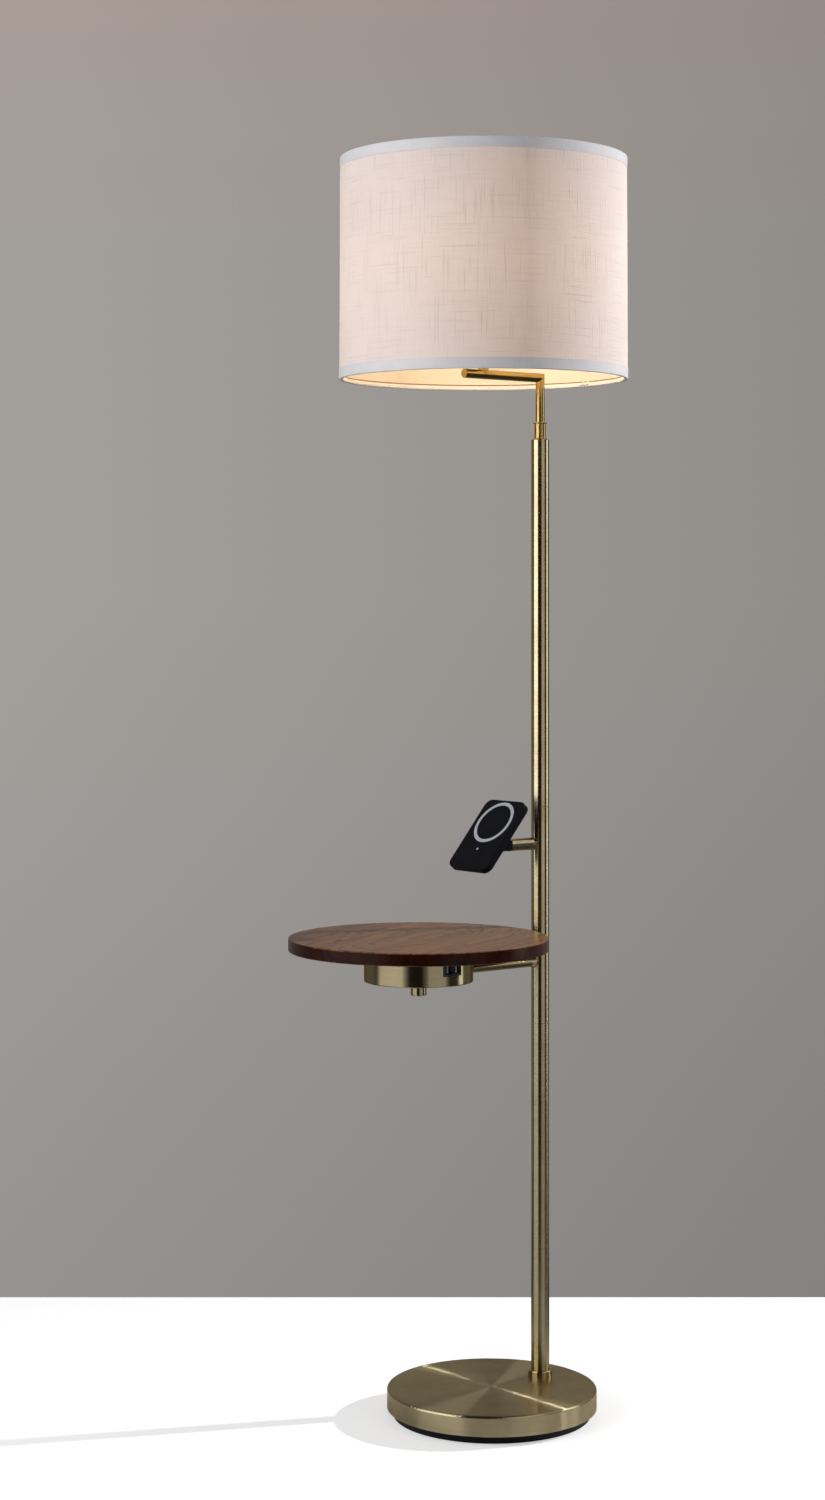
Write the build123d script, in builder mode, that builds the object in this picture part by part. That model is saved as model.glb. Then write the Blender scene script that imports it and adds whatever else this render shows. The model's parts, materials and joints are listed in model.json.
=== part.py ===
from build123d import *
from math import cos, radians, sin, sqrt, tan
import os

# A floor lamp: a weighted round base, a pole behind its centre, a round wooden tray on a
# metal canister with charging ports and a switch, a tilting phone charger, and a swivelling
# angled arm that carries a drum shade. Millimetres, +Z up, front towards -Y. The origin is
# the centre of the base on the floor, and every branch lies in the plane X = 0.

# Fits
slip = 0.05  # radial clearance of a shaft in its bearing, a tube in its hole
seat_gap = 0.1  # end play of a part that turns
pass_gap = 0.3  # room between parts that pass each other

# Base
base_dia = 250
cover_height = 24
cover_wall = 1.2
cover_edge = 3
cover_overhang = 3.5
floor_pad_thickness = 1.5
floor_pad_inset = 4
foot_height = 9.5
foot_flare = 4.5
foot_floor = 2.5
foot_wall = 9
pan_screw_circle = 150
pan_screw_count = 3
pan_screw_dia = 5
pan_screw_head_dia = 9
pan_screw_head = 2.5
pan_screw_length = 12
gland_bore = 7
gland_dia = 9.2
gland_flange_dia = 13
gland_flange = 2.5
gland_depth = 12
gland_rise = 9.5

# Pole
pole_setback = 76
pole_dia = 22
pole_wall = 1.2
lower_pole_length = 427
mid_pole_length = 261.5
upper_pole_length = 442.5
seam_chamfer = 0.4
collar_dia = 29
collar_height = 8
collar_edge = 1.5
plug_length = 20
nipple_dia = 10.4
base_nut_flats = 17
base_nut_height = 6
base_nut_flange_dia = 30
base_nut_flange = 2
nut_bridge = 4
joiner_length = 40

# Neck, the bearing of the swivelling head
cap_flange = 1
cap_depth = 15
neck_height = 19
neck_dia = 13.7
neck_ring_dia = 14.8
neck_ring_height = 2
retainer_dia = 17
retainer_height = 4
retainer_tail = 2

# Head arm
head_tube_dia = 11
head_tube_wall = 1.2
stem_rise = 75.5
post_reach = 89
arm_overhang = 29.6
arm_end_thickness = 1
post_dia = 12
post_bore = 8.6
post_rise = 24.5
wire_hole_dia = 7
collar_ring_height = 2.2

# Socket, bulb and harp
saddle_thickness = 1.5
saddle_width = 14
saddle_half_span = 29
ear_dia = 6.8
ear_height = 12
harp_wire = 3.6
harp_half_width = 50
harp_shoulder = 60
harp_top_half = 14
stud_dia = 6
stud_seat_dia = 14
stud_seat_height = 3
stud_length = 14
socket_spigot = 10
socket_wire_bore = 5
cap_neck_dia = 18
socket_cap_height = 20
socket_cap_wall = 1.5
socket_dia = 33
socket_height = 35
socket_floor = 5
bulb_cap_dia = 26.4
bulb_cap_height = 24
bulb_tip_dia = 10
bulb_tip_height = 3
bulb_dia = 60
bulb_neck_dia = 26
bulb_neck_height = 20
bulb_glass_wall = 1
bulb_flare = 35  # degrees below the bulb's equator where the round part starts
finial_dia = 12
finial_height = 17

# Shade
shade_bottom_dia = 344
shade_taper = 2
shade_height = 263
shade_drop = 6.5
cloth_thickness = 0.6
liner_thickness = 0.8
trim_height = 12.7
trim_thickness = 0.5
ring_wire = 3
spider_drop = 22
spider_spokes = 3
spoke_wire = 3
hub_dia = 24
hub_thickness = 1.6

# Tray
tray_reach = 187
tray_dia = 305
tray_thickness = 15
tray_edge = 1.5
tray_arm_rise = 73.5
tray_arm_dia = 10
arm_bulge_dia = 13
arm_bulge_length = 5
arm_flange_dia = 12.4
arm_flange_length = 2
arm_nut_flats = 12
arm_nut_height = 5
arm_tail = 2
housing_dia = 128
housing_height = 36
housing_wall = 1.2
housing_edge = 1
arm_nut_room = 0.3
plate_thickness = 2
standoff_circle = 100
standoff_dia = 8.4
standoff_angles = (135, 225, 315)
housing_screw_dia = 3.5
housing_screw_head_dia = 6.4
housing_screw_head = 1.8
housing_screw_length = 12
tray_screw_circle = 60
tray_screw_count = 4
tray_screw_dia = 3.5
tray_screw_head_dia = 7.2
tray_screw_head = 2
tray_screw_length = 11

# Charging ports in the canister's right side
port_width = 26.5
port_height = 17
port_rise = 12
port_depth = 17
port_proud = 0.4
well_width = 11.3
well_height = 13.5
well_depth = 11
tongue_thickness = 2
tongue_height = 10.5
tongue_length = 8.5

# Power supply and rotary switch
supply_width = 44
supply_length = 26
supply_height = 18
supply_offset = 29
switch_dia = 20
switch_height = 16
bushing_dia = 10
bushing_length = 4.5
switch_nut_flats = 14
switch_nut_height = 3.5
shaft_dia = 6
shaft_in_switch = 11
knob_gap = 0.5
knob_dia = 18.6
knob_height = 12
knob_edge = 0.8
knob_floor = 2

# Lead wires
lead_dia = 2.4
lead_spacing = 2.5
lead_bend = 9

# Charger stub
stub_drop = 44.5
stub_dia = 15
boss_root_dia = 11
boss_length = 9.7
boss_taper = 4
sleeve_gap = 0.2
sleeve_length = 29.1
sleeve_web = 14.1
swivel_screw_dia = 8
swivel_screw_tail = 1.3
swivel_head_dia = 12
swivel_head = 3
swivel_head_room = 2
swivel_bore = 3.2
neck_flange = 2.5
neck_flange_dia = 13.8
hinge_run = 16
hinge_pin_dia = 4
fork_width = 16
lug_width = 7.8
lug_radius = 6

# Charger pad
pad_tilt = 40  # degrees that the pad faces up from level, at rest
pad_width = 72
pad_length = 100
pad_corner = 10
pad_thickness = 9
pad_stand_off = 23.7
pad_wall = 1.6
pad_edge = 1.2
panel_thickness = 1.8
hub_root_dia = 26
hub_height = 2.5
ring_margin = 3
ring_outer_dia = 59
ring_width = 4.5
ring_inlay = 0.6
light_offset = 22
light_dia = 3.2
magnet_inset = 1
magnet_width = 5
magnet_thickness = 1.5
coil_gap = 1.5
coil_inner_dia = 20
coil_thickness = 0.9
board_width = 54
board_length = 26
board_thickness = 1.2
board_margin = 3.8

# Levels and places worked out from the sizes above
SEATED = (Align.CENTER, Align.CENTER, Align.MIN)
HANGING = (Align.CENTER, Align.CENTER, Align.MAX)
pole_y = pole_setback
pole_bore = pole_dia - 2 * pole_wall
lead_passage = 2 * lead_spacing + lead_dia + 2 * pass_gap
nipple_bore = lead_passage
joiner_bore = lead_passage
tray_arm_bore = lead_passage
foot_top_dia = base_dia - 2 * cover_overhang
foot_bottom_dia = foot_top_dia - 2 * foot_flare
floor_pad_dia = foot_bottom_dia - 2 * floor_pad_inset
weight_dia = foot_bottom_dia - 2 * foot_wall
foot_top_z = floor_pad_thickness + foot_height
foot_floor_z = floor_pad_thickness + foot_floor
base_top_z = foot_top_z + cover_height
weight_top_z = base_top_z - cover_wall
lower_seam_z = base_top_z + lower_pole_length
upper_seam_z = lower_seam_z + mid_pole_length
pole_top_z = upper_seam_z + upper_pole_length
neck_z = pole_top_z + cap_flange
neck_top_z = neck_z + neck_height
head_arm_z = pole_top_z + stem_rise
post_y = pole_y - post_reach
post_top_z = head_arm_z + post_rise
shade_bottom_z = head_arm_z - shade_drop
shade_top_z = shade_bottom_z + shade_height
shade_top_dia = shade_bottom_dia - shade_taper
tray_y = pole_y - tray_reach
tray_arm_z = lower_seam_z + tray_arm_rise
arm_above_floor = housing_wall + arm_nut_room + arm_nut_flats / 2
housing_z = tray_arm_z - arm_above_floor
housing_floor_z = housing_z + housing_wall
housing_top_z = housing_z + housing_height
housing_bore = housing_dia - 2 * housing_wall
stub_z = upper_seam_z - stub_drop
boss_end = pole_dia / 2 + boss_length
sleeve_start = boss_end + sleeve_gap
sleeve_end = sleeve_start + sleeve_length
swivel_shoulder = sleeve_start + sleeve_web
swivel_screw_start = pole_bore / 2 - swivel_screw_tail
neck_spigot_start = swivel_shoulder + swivel_head + swivel_head_room
neck_flange_end = sleeve_end + neck_flange
hinge_reach = sleeve_end + hinge_run
ring_offset = pad_length / 2 - ring_margin - ring_outer_dia / 2
ring_inner_dia = ring_outer_dia - 2 * ring_width
magnet_outer_dia = ring_outer_dia - 2 * magnet_inset
magnet_inner_dia = magnet_outer_dia - 2 * magnet_width
coil_outer_dia = magnet_inner_dia - 2 * coil_gap
board_offset = pad_length / 2 - 2 * pad_wall - board_margin - board_length / 2

post_axis = Axis((0, post_y, 0), (0, 0, 1))


def level(y, z):
    """Horizontal plane with its origin at height z on the plane X = 0."""
    return Plane((0, y, z))


def section(y):
    """Upright plane whose local x is the radius and local y is the height."""
    return Plane(origin=(0, y, 0), x_dir=(1, 0, 0), z_dir=(0, -1, 0))


def reach_plane(z):
    """Plane on the pole's axis at height z, whose normal points to the front."""
    return Plane(origin=(0, pole_y, z), x_dir=(1, 0, 0), z_dir=(0, -1, 0))


def add_tube(outer, inner, length):
    """Add a tube to the current part, standing on its work plane."""
    Cylinder(outer / 2, length, align=SEATED)
    Cylinder(inner / 2, length, align=SEATED, mode=Mode.SUBTRACT)


def draw_nut(flats, bore):
    """Draw a hexagonal nut's outline and bore in the current sketch, with a flat below."""
    RegularPolygon(flats / 2, 6, major_radius=False)
    Circle(bore / 2, mode=Mode.SUBTRACT)


def cut_pole():
    """Cope the current part, made on a reach plane, to the pole's round surface."""
    Cylinder(pole_dia / 2, 4 * pole_dia, rotation=(90, 0, 0), mode=Mode.SUBTRACT)


# Base: a foam pad, a tapered pan, the weight that stands in it and the cover over it
with BuildPart() as floor_pad:
    Cylinder(floor_pad_dia / 2, floor_pad_thickness, align=SEATED)

with BuildPart() as base_foot:
    with BuildSketch(Plane.XZ):
        with BuildLine():
            Polyline(
                (0, floor_pad_thickness),
                (foot_bottom_dia / 2, floor_pad_thickness),
                (foot_top_dia / 2, foot_top_z),
                (weight_dia / 2 + pass_gap, foot_top_z),
                (weight_dia / 2 + pass_gap, foot_floor_z),
                (0, foot_floor_z),
                close=True,
            )
        make_face()
    revolve(axis=Axis.Z)
    with Locations((0, 0, floor_pad_thickness)):
        with PolarLocations(pan_screw_circle / 2, pan_screw_count, start_angle=30):
            Cone(
                pan_screw_head_dia / 2,
                pan_screw_dia / 2,
                pan_screw_head,
                align=SEATED,
                mode=Mode.SUBTRACT,
            )
            Cylinder(pan_screw_dia / 2, foot_floor, align=SEATED, mode=Mode.SUBTRACT)

with BuildPart(level(0, floor_pad_thickness)) as pan_screws:
    with PolarLocations(pan_screw_circle / 2, pan_screw_count, start_angle=30):
        Cone(pan_screw_head_dia / 2, pan_screw_dia / 2, pan_screw_head, align=SEATED)
        Cylinder(pan_screw_dia / 2, pan_screw_length, align=SEATED)

nut_seat_z = weight_top_z - nut_bridge
base_nut_z = nut_seat_z - base_nut_flange - base_nut_height
with BuildPart(level(0, foot_floor_z)) as base_weight:
    Cylinder(weight_dia / 2, weight_top_z - foot_floor_z, align=SEATED)
    with PolarLocations(pan_screw_circle / 2, pan_screw_count, start_angle=30):
        Cylinder(
            pan_screw_dia / 2,
            floor_pad_thickness + pan_screw_length - foot_floor_z,
            align=SEATED,
            mode=Mode.SUBTRACT,
        )
    with Locations((0, pole_y, 0)):
        Cylinder(
            nipple_dia / 2 + slip, weight_top_z - foot_floor_z, align=SEATED, mode=Mode.SUBTRACT
        )
        Cylinder(
            base_nut_flange_dia / 2 + pass_gap,
            nut_seat_z - foot_floor_z,
            align=SEATED,
            mode=Mode.SUBTRACT,
        )
        Box(
            gland_dia + 2 * pass_gap,
            weight_dia,
            foot_top_z + gland_rise + gland_dia / 2 + pass_gap - foot_floor_z,
            align=(Align.CENTER, Align.MIN, Align.MIN),
            mode=Mode.SUBTRACT,
        )

with BuildPart(level(0, foot_top_z)) as base_cover:
    Cylinder(base_dia / 2, cover_height, align=SEATED)
    fillet(base_cover.faces().sort_by(Axis.Z)[-1].edges(), cover_edge)
    offset(amount=-cover_wall, openings=base_cover.faces().sort_by(Axis.Z)[0])
    with Locations((0, pole_y, 0)):
        Cylinder(nipple_dia / 2 + slip, cover_height, align=SEATED, mode=Mode.SUBTRACT)
    with Locations((0, base_dia / 2, gland_rise)):
        Cylinder(
            gland_dia / 2 + slip, base_dia / 4, rotation=(90, 0, 0), mode=Mode.SUBTRACT
        )

gland_plane = Plane(
    origin=(0, base_dia / 2, foot_top_z + gland_rise), x_dir=(1, 0, 0), z_dir=(0, 1, 0)
)
with BuildPart(gland_plane) as cord_gland:
    Cylinder(gland_flange_dia / 2, gland_flange, align=SEATED)
    fillet(cord_gland.edges().sort_by(Axis.Y)[-1], gland_flange / 3)
    Cylinder(gland_dia / 2, gland_depth, align=HANGING)
    Cylinder(gland_bore / 2, 4 * gland_depth, mode=Mode.SUBTRACT)

with BuildPart(level(pole_y, base_nut_z)) as base_nipple:
    add_tube(nipple_dia, nipple_bore, base_top_z + plug_length - base_nut_z)

with BuildPart(level(pole_y, base_nut_z)) as base_nut:
    with BuildSketch(level(pole_y, base_nut_z)):
        draw_nut(base_nut_flats, nipple_dia + 2 * slip)
    extrude(amount=base_nut_height)
    with Locations((0, 0, base_nut_height)):
        add_tube(base_nut_flange_dia, nipple_dia + 2 * slip, base_nut_flange)

# Pole: three tubes on a plug, joined inside, with a collar at the foot
with BuildPart(level(pole_y, base_top_z)) as foot_collar:
    Cylinder(collar_dia / 2, collar_height, align=SEATED)
    fillet(foot_collar.edges().sort_by(Axis.Z)[-1], collar_edge)
    Cylinder(pole_dia / 2 + slip, collar_height, align=SEATED, mode=Mode.SUBTRACT)

with BuildPart(level(pole_y, base_top_z)) as pole_plug:
    add_tube(pole_bore - 2 * slip, nipple_dia + 2 * slip, plug_length)

with BuildPart(level(pole_y, base_top_z)) as lower_pole:
    add_tube(pole_dia, pole_bore, lower_pole_length)
    chamfer(lower_pole.edges().group_by(Axis.Z)[-1].sort_by(SortBy.RADIUS)[-1], seam_chamfer)

with BuildPart(level(pole_y, lower_seam_z)) as mid_pole:
    add_tube(pole_dia, pole_bore, mid_pole_length)
    chamfer(mid_pole.edges().group_by(Axis.Z)[0].sort_by(SortBy.RADIUS)[-1], seam_chamfer)
    chamfer(mid_pole.edges().group_by(Axis.Z)[-1].sort_by(SortBy.RADIUS)[-1], seam_chamfer)
    with Locations((0, 0, tray_arm_rise)):
        Cylinder(
            tray_arm_bore / 2, pole_dia, rotation=(90, 0, 0), align=SEATED, mode=Mode.SUBTRACT
        )
    with Locations((0, 0, mid_pole_length - stub_drop)):
        Cylinder(
            swivel_screw_dia / 2 + slip,
            pole_dia,
            rotation=(90, 0, 0),
            align=SEATED,
            mode=Mode.SUBTRACT,
        )

with BuildPart(level(pole_y, upper_seam_z)) as upper_pole:
    add_tube(pole_dia, pole_bore, upper_pole_length)
    chamfer(upper_pole.edges().group_by(Axis.Z)[0].sort_by(SortBy.RADIUS)[-1], seam_chamfer)

with BuildPart() as pole_joiners:
    for seam_z in (lower_seam_z, upper_seam_z):
        with BuildSketch(level(pole_y, seam_z)):
            Circle(pole_bore / 2 - slip)
            Circle(joiner_bore / 2, mode=Mode.SUBTRACT)
        extrude(amount=joiner_length / 2, both=True)

# Neck: the cap of the pole and the sleeve in which the head's stem turns
stem_hole = head_tube_dia + 2 * slip
with BuildPart(level(pole_y, pole_top_z)) as top_cap:
    Cylinder(pole_dia / 2, cap_flange, align=SEATED)
    chamfer(top_cap.edges().sort_by(Axis.Z)[-1], cap_flange / 2)
    Cylinder(pole_bore / 2 - slip, cap_depth, align=HANGING)
    Cylinder(stem_hole / 2, 4 * cap_depth, mode=Mode.SUBTRACT)

with BuildPart(level(pole_y, neck_z)) as neck_sleeve:
    Cylinder(neck_dia / 2, neck_height, align=SEATED)
    Cylinder(neck_ring_dia / 2, neck_ring_height, align=SEATED)
    Cylinder(stem_hole / 2, neck_height, align=SEATED, mode=Mode.SUBTRACT)

# Head: an L-shaped mitred tube with a closed end, turning in the neck
cap_bottom_z = pole_top_z - cap_depth
retainer_z = cap_bottom_z - seat_gap - retainer_height
stem_bottom_z = retainer_z - retainer_tail
arm_end_y = post_y - arm_overhang
with BuildPart() as lamp_arm:
    with BuildLine():
        Polyline(
            (0, pole_y, stem_bottom_z), (0, pole_y, head_arm_z), (0, arm_end_y, head_arm_z)
        )
    with BuildSketch(level(pole_y, stem_bottom_z)):
        Circle(head_tube_dia / 2)
        Circle(head_tube_dia / 2 - head_tube_wall, mode=Mode.SUBTRACT)
    sweep(transition=Transition.RIGHT)
    with BuildSketch(Plane.XZ.offset(-arm_end_y)):
        with Locations((0, head_arm_z)):
            Circle(head_tube_dia / 2)
    extrude(amount=-arm_end_thickness)
    with BuildSketch(level(post_y, head_arm_z)):
        Circle(wire_hole_dia / 2)
    extrude(amount=head_tube_dia, mode=Mode.SUBTRACT)

with BuildPart(level(pole_y, neck_top_z)) as stem_collar:
    add_tube(neck_ring_dia, head_tube_dia, collar_ring_height)

with BuildPart(level(pole_y, retainer_z)) as swivel_retainer:
    add_tube(retainer_dia, head_tube_dia, retainer_height)

with BuildPart(level(post_y, head_arm_z)) as socket_post:
    add_tube(post_dia, post_bore, post_rise)
    Cylinder(head_tube_dia / 2, 4 * post_dia, rotation=(90, 0, 0), mode=Mode.SUBTRACT)

# Socket: a saddle with two ears for the harp, the cap, the shell and the bulb
cap_z = post_top_z + saddle_thickness
with BuildPart(level(post_y, post_top_z)) as harp_saddle:
    with BuildSketch(level(post_y, post_top_z)):
        SlotOverall(2 * saddle_half_span + saddle_width, saddle_width)
        Circle(post_bore / 2, mode=Mode.SUBTRACT)
    extrude(amount=saddle_thickness)
    with Locations((0, 0, saddle_thickness)):
        with GridLocations(2 * saddle_half_span, 0, 2, 1):
            add_tube(ear_dia, harp_wire + 2 * slip, ear_height)

socket_z = cap_z + socket_cap_height
with BuildPart() as socket_cap:
    with BuildSketch(section(post_y)):
        with BuildLine():
            Polyline(
                (socket_wire_bore / 2, cap_z - socket_spigot),
                (post_bore / 2 - slip, cap_z - socket_spigot),
                (post_bore / 2 - slip, cap_z),
                (cap_neck_dia / 2, cap_z),
            )
            RadiusArc(
                (cap_neck_dia / 2, cap_z), (socket_dia / 2, socket_z), -1.2 * socket_cap_height
            )
            Polyline(
                (socket_dia / 2, socket_z),
                (socket_dia / 2 - 2 * socket_cap_wall, socket_z),
                (cap_neck_dia / 2 - socket_cap_wall, cap_z + 2 * socket_cap_wall),
                (socket_wire_bore / 2, cap_z + 2 * socket_cap_wall),
                (socket_wire_bore / 2, cap_z - socket_spigot),
            )
        make_face()
    revolve(axis=post_axis)

with BuildPart(level(post_y, socket_z)) as socket_shell:
    Cylinder(socket_dia / 2, socket_height, align=SEATED)
    with Locations((0, 0, socket_floor)):
        Cylinder(
            bulb_cap_dia / 2 + pass_gap, socket_height, align=SEATED, mode=Mode.SUBTRACT
        )

bulb_z = socket_z + socket_floor
bulb_neck_z = bulb_z + bulb_tip_height + bulb_cap_height
with BuildPart(level(post_y, bulb_z)) as bulb_cap:
    Cone(bulb_tip_dia / 4, bulb_tip_dia / 2, bulb_tip_height, align=SEATED)
    with Locations((0, 0, bulb_tip_height)):
        Cylinder(bulb_cap_dia / 2, bulb_cap_height, align=SEATED)


def bulb_outline(inset, start_z):
    """Half outline of the bulb, drawn inset from the outer surface of the glass."""
    round_r = bulb_dia / 2 - inset
    neck_r = bulb_neck_dia / 2 - inset
    flare = radians(bulb_flare)
    flare_r = bulb_dia / 2 * cos(flare)
    centre_z = (
        bulb_neck_z
        + bulb_neck_height
        + (flare_r - bulb_neck_dia / 2) / tan(flare)
        + bulb_dia / 2 * sin(flare)
    )
    join = (round_r * cos(flare), centre_z - round_r * sin(flare))
    neck_top = (neck_r, join[1] - (join[0] - neck_r) / tan(flare))
    Polyline((0, centre_z + round_r), (0, start_z), (neck_r, start_z), neck_top, join)
    RadiusArc(join, (0, centre_z + round_r), -round_r)


with BuildPart() as bulb_glass:
    with BuildSketch(section(post_y)):
        with BuildLine():
            bulb_outline(0, bulb_neck_z)
        make_face()
        with BuildLine():
            bulb_outline(bulb_glass_wall, bulb_neck_z + bulb_glass_wall)
        make_face(mode=Mode.SUBTRACT)
    revolve(axis=post_axis)

# Harp: one wire loop from ear to ear, with a seat and a stud for the shade on top
hub_z = shade_top_z - spider_drop
seat_z = hub_z - stud_seat_height
harp_half = [
    (saddle_half_span, cap_z),
    (saddle_half_span, cap_z + ear_height + harp_wire),
    (harp_half_width, cap_z + ear_height + harp_shoulder),
    (harp_half_width, seat_z - harp_shoulder),
    (harp_top_half, seat_z),
]
harp_points = harp_half + [(-x, z) for x, z in reversed(harp_half)]
harp_bends = [harp_wire * 4, harp_half_width, harp_half_width / 2, harp_wire * 5]
with BuildPart() as harp:
    with BuildLine(section(post_y)):
        FilletPolyline(*harp_points, radius=harp_bends + harp_bends[::-1])
    with BuildSketch(Plane((saddle_half_span, post_y, cap_z))):
        Circle(harp_wire / 2)
    sweep()
    with BuildSketch(level(post_y, seat_z)):
        Circle(stud_seat_dia / 2)
    extrude(amount=stud_seat_height)
    with BuildSketch(level(post_y, hub_z)):
        Circle(stud_dia / 2)
    extrude(amount=stud_length)

finial_z = hub_z + hub_thickness + seat_gap
with BuildPart(level(post_y, finial_z)) as finial:
    Cylinder(finial_dia / 2, finial_height, align=SEATED)
    fillet(finial.edges().sort_by(Axis.Z)[-1], finial_dia / 2.5)
    Cylinder(stud_dia / 2, stud_length - hub_thickness - seat_gap, align=SEATED, mode=Mode.SUBTRACT)


# Shade: cloth on a stiff liner, bound to two wire rings by trim bands
def shade_radius(z):
    """Outer radius of the cloth at height z."""
    rise = (z - shade_bottom_z) / shade_height
    dia = shade_bottom_dia + (shade_top_dia - shade_bottom_dia) * rise
    return dia / 2 - trim_thickness


def band_points(outer_inset, thickness, low_z, high_z):
    """Section of a thin cone, inset from the cloth's outer surface."""
    low_r = shade_radius(low_z) - outer_inset
    high_r = shade_radius(high_z) - outer_inset
    return [
        (low_r, low_z),
        (high_r, high_z),
        (high_r - thickness, high_z),
        (low_r - thickness, low_z),
    ]


cloth_low_z = shade_bottom_z + trim_thickness
cloth_high_z = shade_top_z - trim_thickness
wall_thickness = cloth_thickness + liner_thickness
with BuildPart() as shade_cloth:
    with BuildSketch(section(post_y)):
        Polygon(*band_points(0, cloth_thickness, cloth_low_z, cloth_high_z), align=None)
    revolve(axis=post_axis)

with BuildPart() as shade_liner:
    with BuildSketch(section(post_y)):
        Polygon(
            *band_points(cloth_thickness, liner_thickness, cloth_low_z, cloth_high_z), align=None
        )
    revolve(axis=post_axis)

trim_lip = wall_thickness + ring_wire
trim_ends = (
    (shade_bottom_z, shade_bottom_z + trim_height, shade_bottom_z, cloth_low_z),
    (shade_top_z - trim_height, shade_top_z, cloth_high_z, shade_top_z),
)
with BuildPart() as shade_trims:
    for band_low_z, band_high_z, lip_low_z, lip_high_z in trim_ends:
        with BuildSketch(section(post_y)):
            Polygon(
                *band_points(-trim_thickness, trim_thickness, band_low_z, band_high_z), align=None
            )
            Polygon(*band_points(0, trim_lip, lip_low_z, lip_high_z), align=None)
        revolve(axis=post_axis)


def ring_radius(z):
    """Radius of the wire ring's centre line that lies inside the liner at height z."""
    return shade_radius(z) - wall_thickness - ring_wire / 2 - slip


low_ring_z = cloth_low_z + ring_wire / 2
high_ring_z = cloth_high_z - ring_wire / 2
with BuildPart(level(post_y, low_ring_z)) as bottom_ring:
    Torus(ring_radius(low_ring_z), ring_wire / 2)

spoke_end_r = ring_radius(high_ring_z)
spoke_start_r = hub_dia / 2 - spoke_wire
spoke_start_z = hub_z + hub_thickness / 2
spoke_rise = high_ring_z - spoke_start_z
with BuildPart() as spider_frame:
    with Locations((0, post_y, high_ring_z)):
        Torus(spoke_end_r, ring_wire / 2)
    with BuildSketch(level(post_y, hub_z)):
        Circle(hub_dia / 2)
    extrude(amount=hub_thickness)
    for spoke in range(spider_spokes):
        angle = radians(90 + 360 / spider_spokes * spoke)
        outward = Vector(cos(angle), sin(angle), 0)
        start = Vector(0, post_y, spoke_start_z) + outward * spoke_start_r
        run = outward * (spoke_end_r - spoke_start_r) + Vector(0, 0, spoke_rise)
        with BuildSketch(Plane(start, z_dir=run)):
            Circle(spoke_wire / 2)
        extrude(amount=run.length)
    with BuildSketch(level(post_y, hub_z - spoke_wire)):
        Circle(hub_dia / 2)
    extrude(amount=spoke_wire, mode=Mode.SUBTRACT)
    with BuildSketch(level(post_y, hub_z + hub_thickness)):
        Circle(finial_dia / 2 + pass_gap)
    extrude(amount=spoke_wire, mode=Mode.SUBTRACT)
    with BuildSketch(level(post_y, hub_z)):
        Circle(stud_dia / 2 + pass_gap)
    extrude(amount=hub_thickness, mode=Mode.SUBTRACT)

# Tray arm: a tube coped to the pole, through the canister's wall, held by a nut
arm_plane = reach_plane(tray_arm_z)
wall_reach = tray_reach - housing_dia / 2
arm_nut_corner = arm_nut_flats / sqrt(3)
arm_nut_reach = tray_reach - sqrt((housing_bore / 2) ** 2 - arm_nut_corner**2)
arm_end_reach = arm_nut_reach + arm_nut_height + arm_tail
with BuildPart(arm_plane) as tray_arm:
    Cylinder(tray_arm_dia / 2, arm_end_reach, align=SEATED)
    Cylinder(arm_bulge_dia / 2, pole_dia / 2, align=SEATED)
    with Locations((0, 0, pole_dia / 2)):
        Cone(arm_bulge_dia / 2, tray_arm_dia / 2, arm_bulge_length, align=SEATED)
    Cylinder(tray_arm_bore / 2, arm_end_reach, align=SEATED, mode=Mode.SUBTRACT)
    cut_pole()

with BuildPart(arm_plane) as arm_flange:
    with Locations((0, 0, wall_reach - arm_flange_length)):
        add_tube(arm_flange_dia, tray_arm_dia + 2 * slip, arm_flange_length + housing_wall)
    with Locations((0, 0, tray_reach)):
        Cylinder(housing_dia / 2, 4 * housing_height, rotation=(90, 0, 0), mode=Mode.SUBTRACT)

with BuildPart() as arm_nut:
    with BuildSketch(arm_plane.offset(arm_nut_reach)):
        draw_nut(arm_nut_flats, tray_arm_dia + 2 * slip)
    extrude(amount=arm_nut_height)

# Canister: open at the top, with the switch, the arm and the ports through its walls
with BuildPart(level(tray_y, housing_z)) as tray_housing:
    Cylinder(housing_dia / 2, housing_height, align=SEATED)
    fillet(tray_housing.faces().sort_by(Axis.Z)[0].edges(), housing_edge)
    offset(amount=-housing_wall, openings=tray_housing.faces().sort_by(Axis.Z)[-1])
    Cylinder(bushing_dia / 2 + slip, 4 * housing_wall, mode=Mode.SUBTRACT)
    for angle in standoff_angles:
        with PolarLocations(standoff_circle / 2, 1, start_angle=angle):
            Cylinder(housing_screw_dia / 2 + slip, 4 * housing_wall, mode=Mode.SUBTRACT)
    with Locations((0, housing_dia / 2, arm_above_floor)):
        Cylinder(
            tray_arm_dia / 2 + slip, housing_dia / 4, rotation=(90, 0, 0), mode=Mode.SUBTRACT
        )
    with Locations((housing_dia / 2, 0, port_rise)):
        Box(
            housing_dia / 4,
            port_width + 2 * slip,
            port_height + 2 * slip,
            align=(Align.CENTER, Align.CENTER, Align.MIN),
            mode=Mode.SUBTRACT,
        )

with BuildPart(level(tray_y, housing_top_z)) as tray_top:
    Cylinder(tray_dia / 2, tray_thickness, align=SEATED)
    fillet(tray_top.edges().filter_by(GeomType.CIRCLE), tray_edge)
    with PolarLocations(tray_screw_circle / 2, tray_screw_count, start_angle=45):
        Cylinder(
            tray_screw_dia / 2,
            tray_screw_length - plate_thickness,
            align=SEATED,
            mode=Mode.SUBTRACT,
        )

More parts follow.
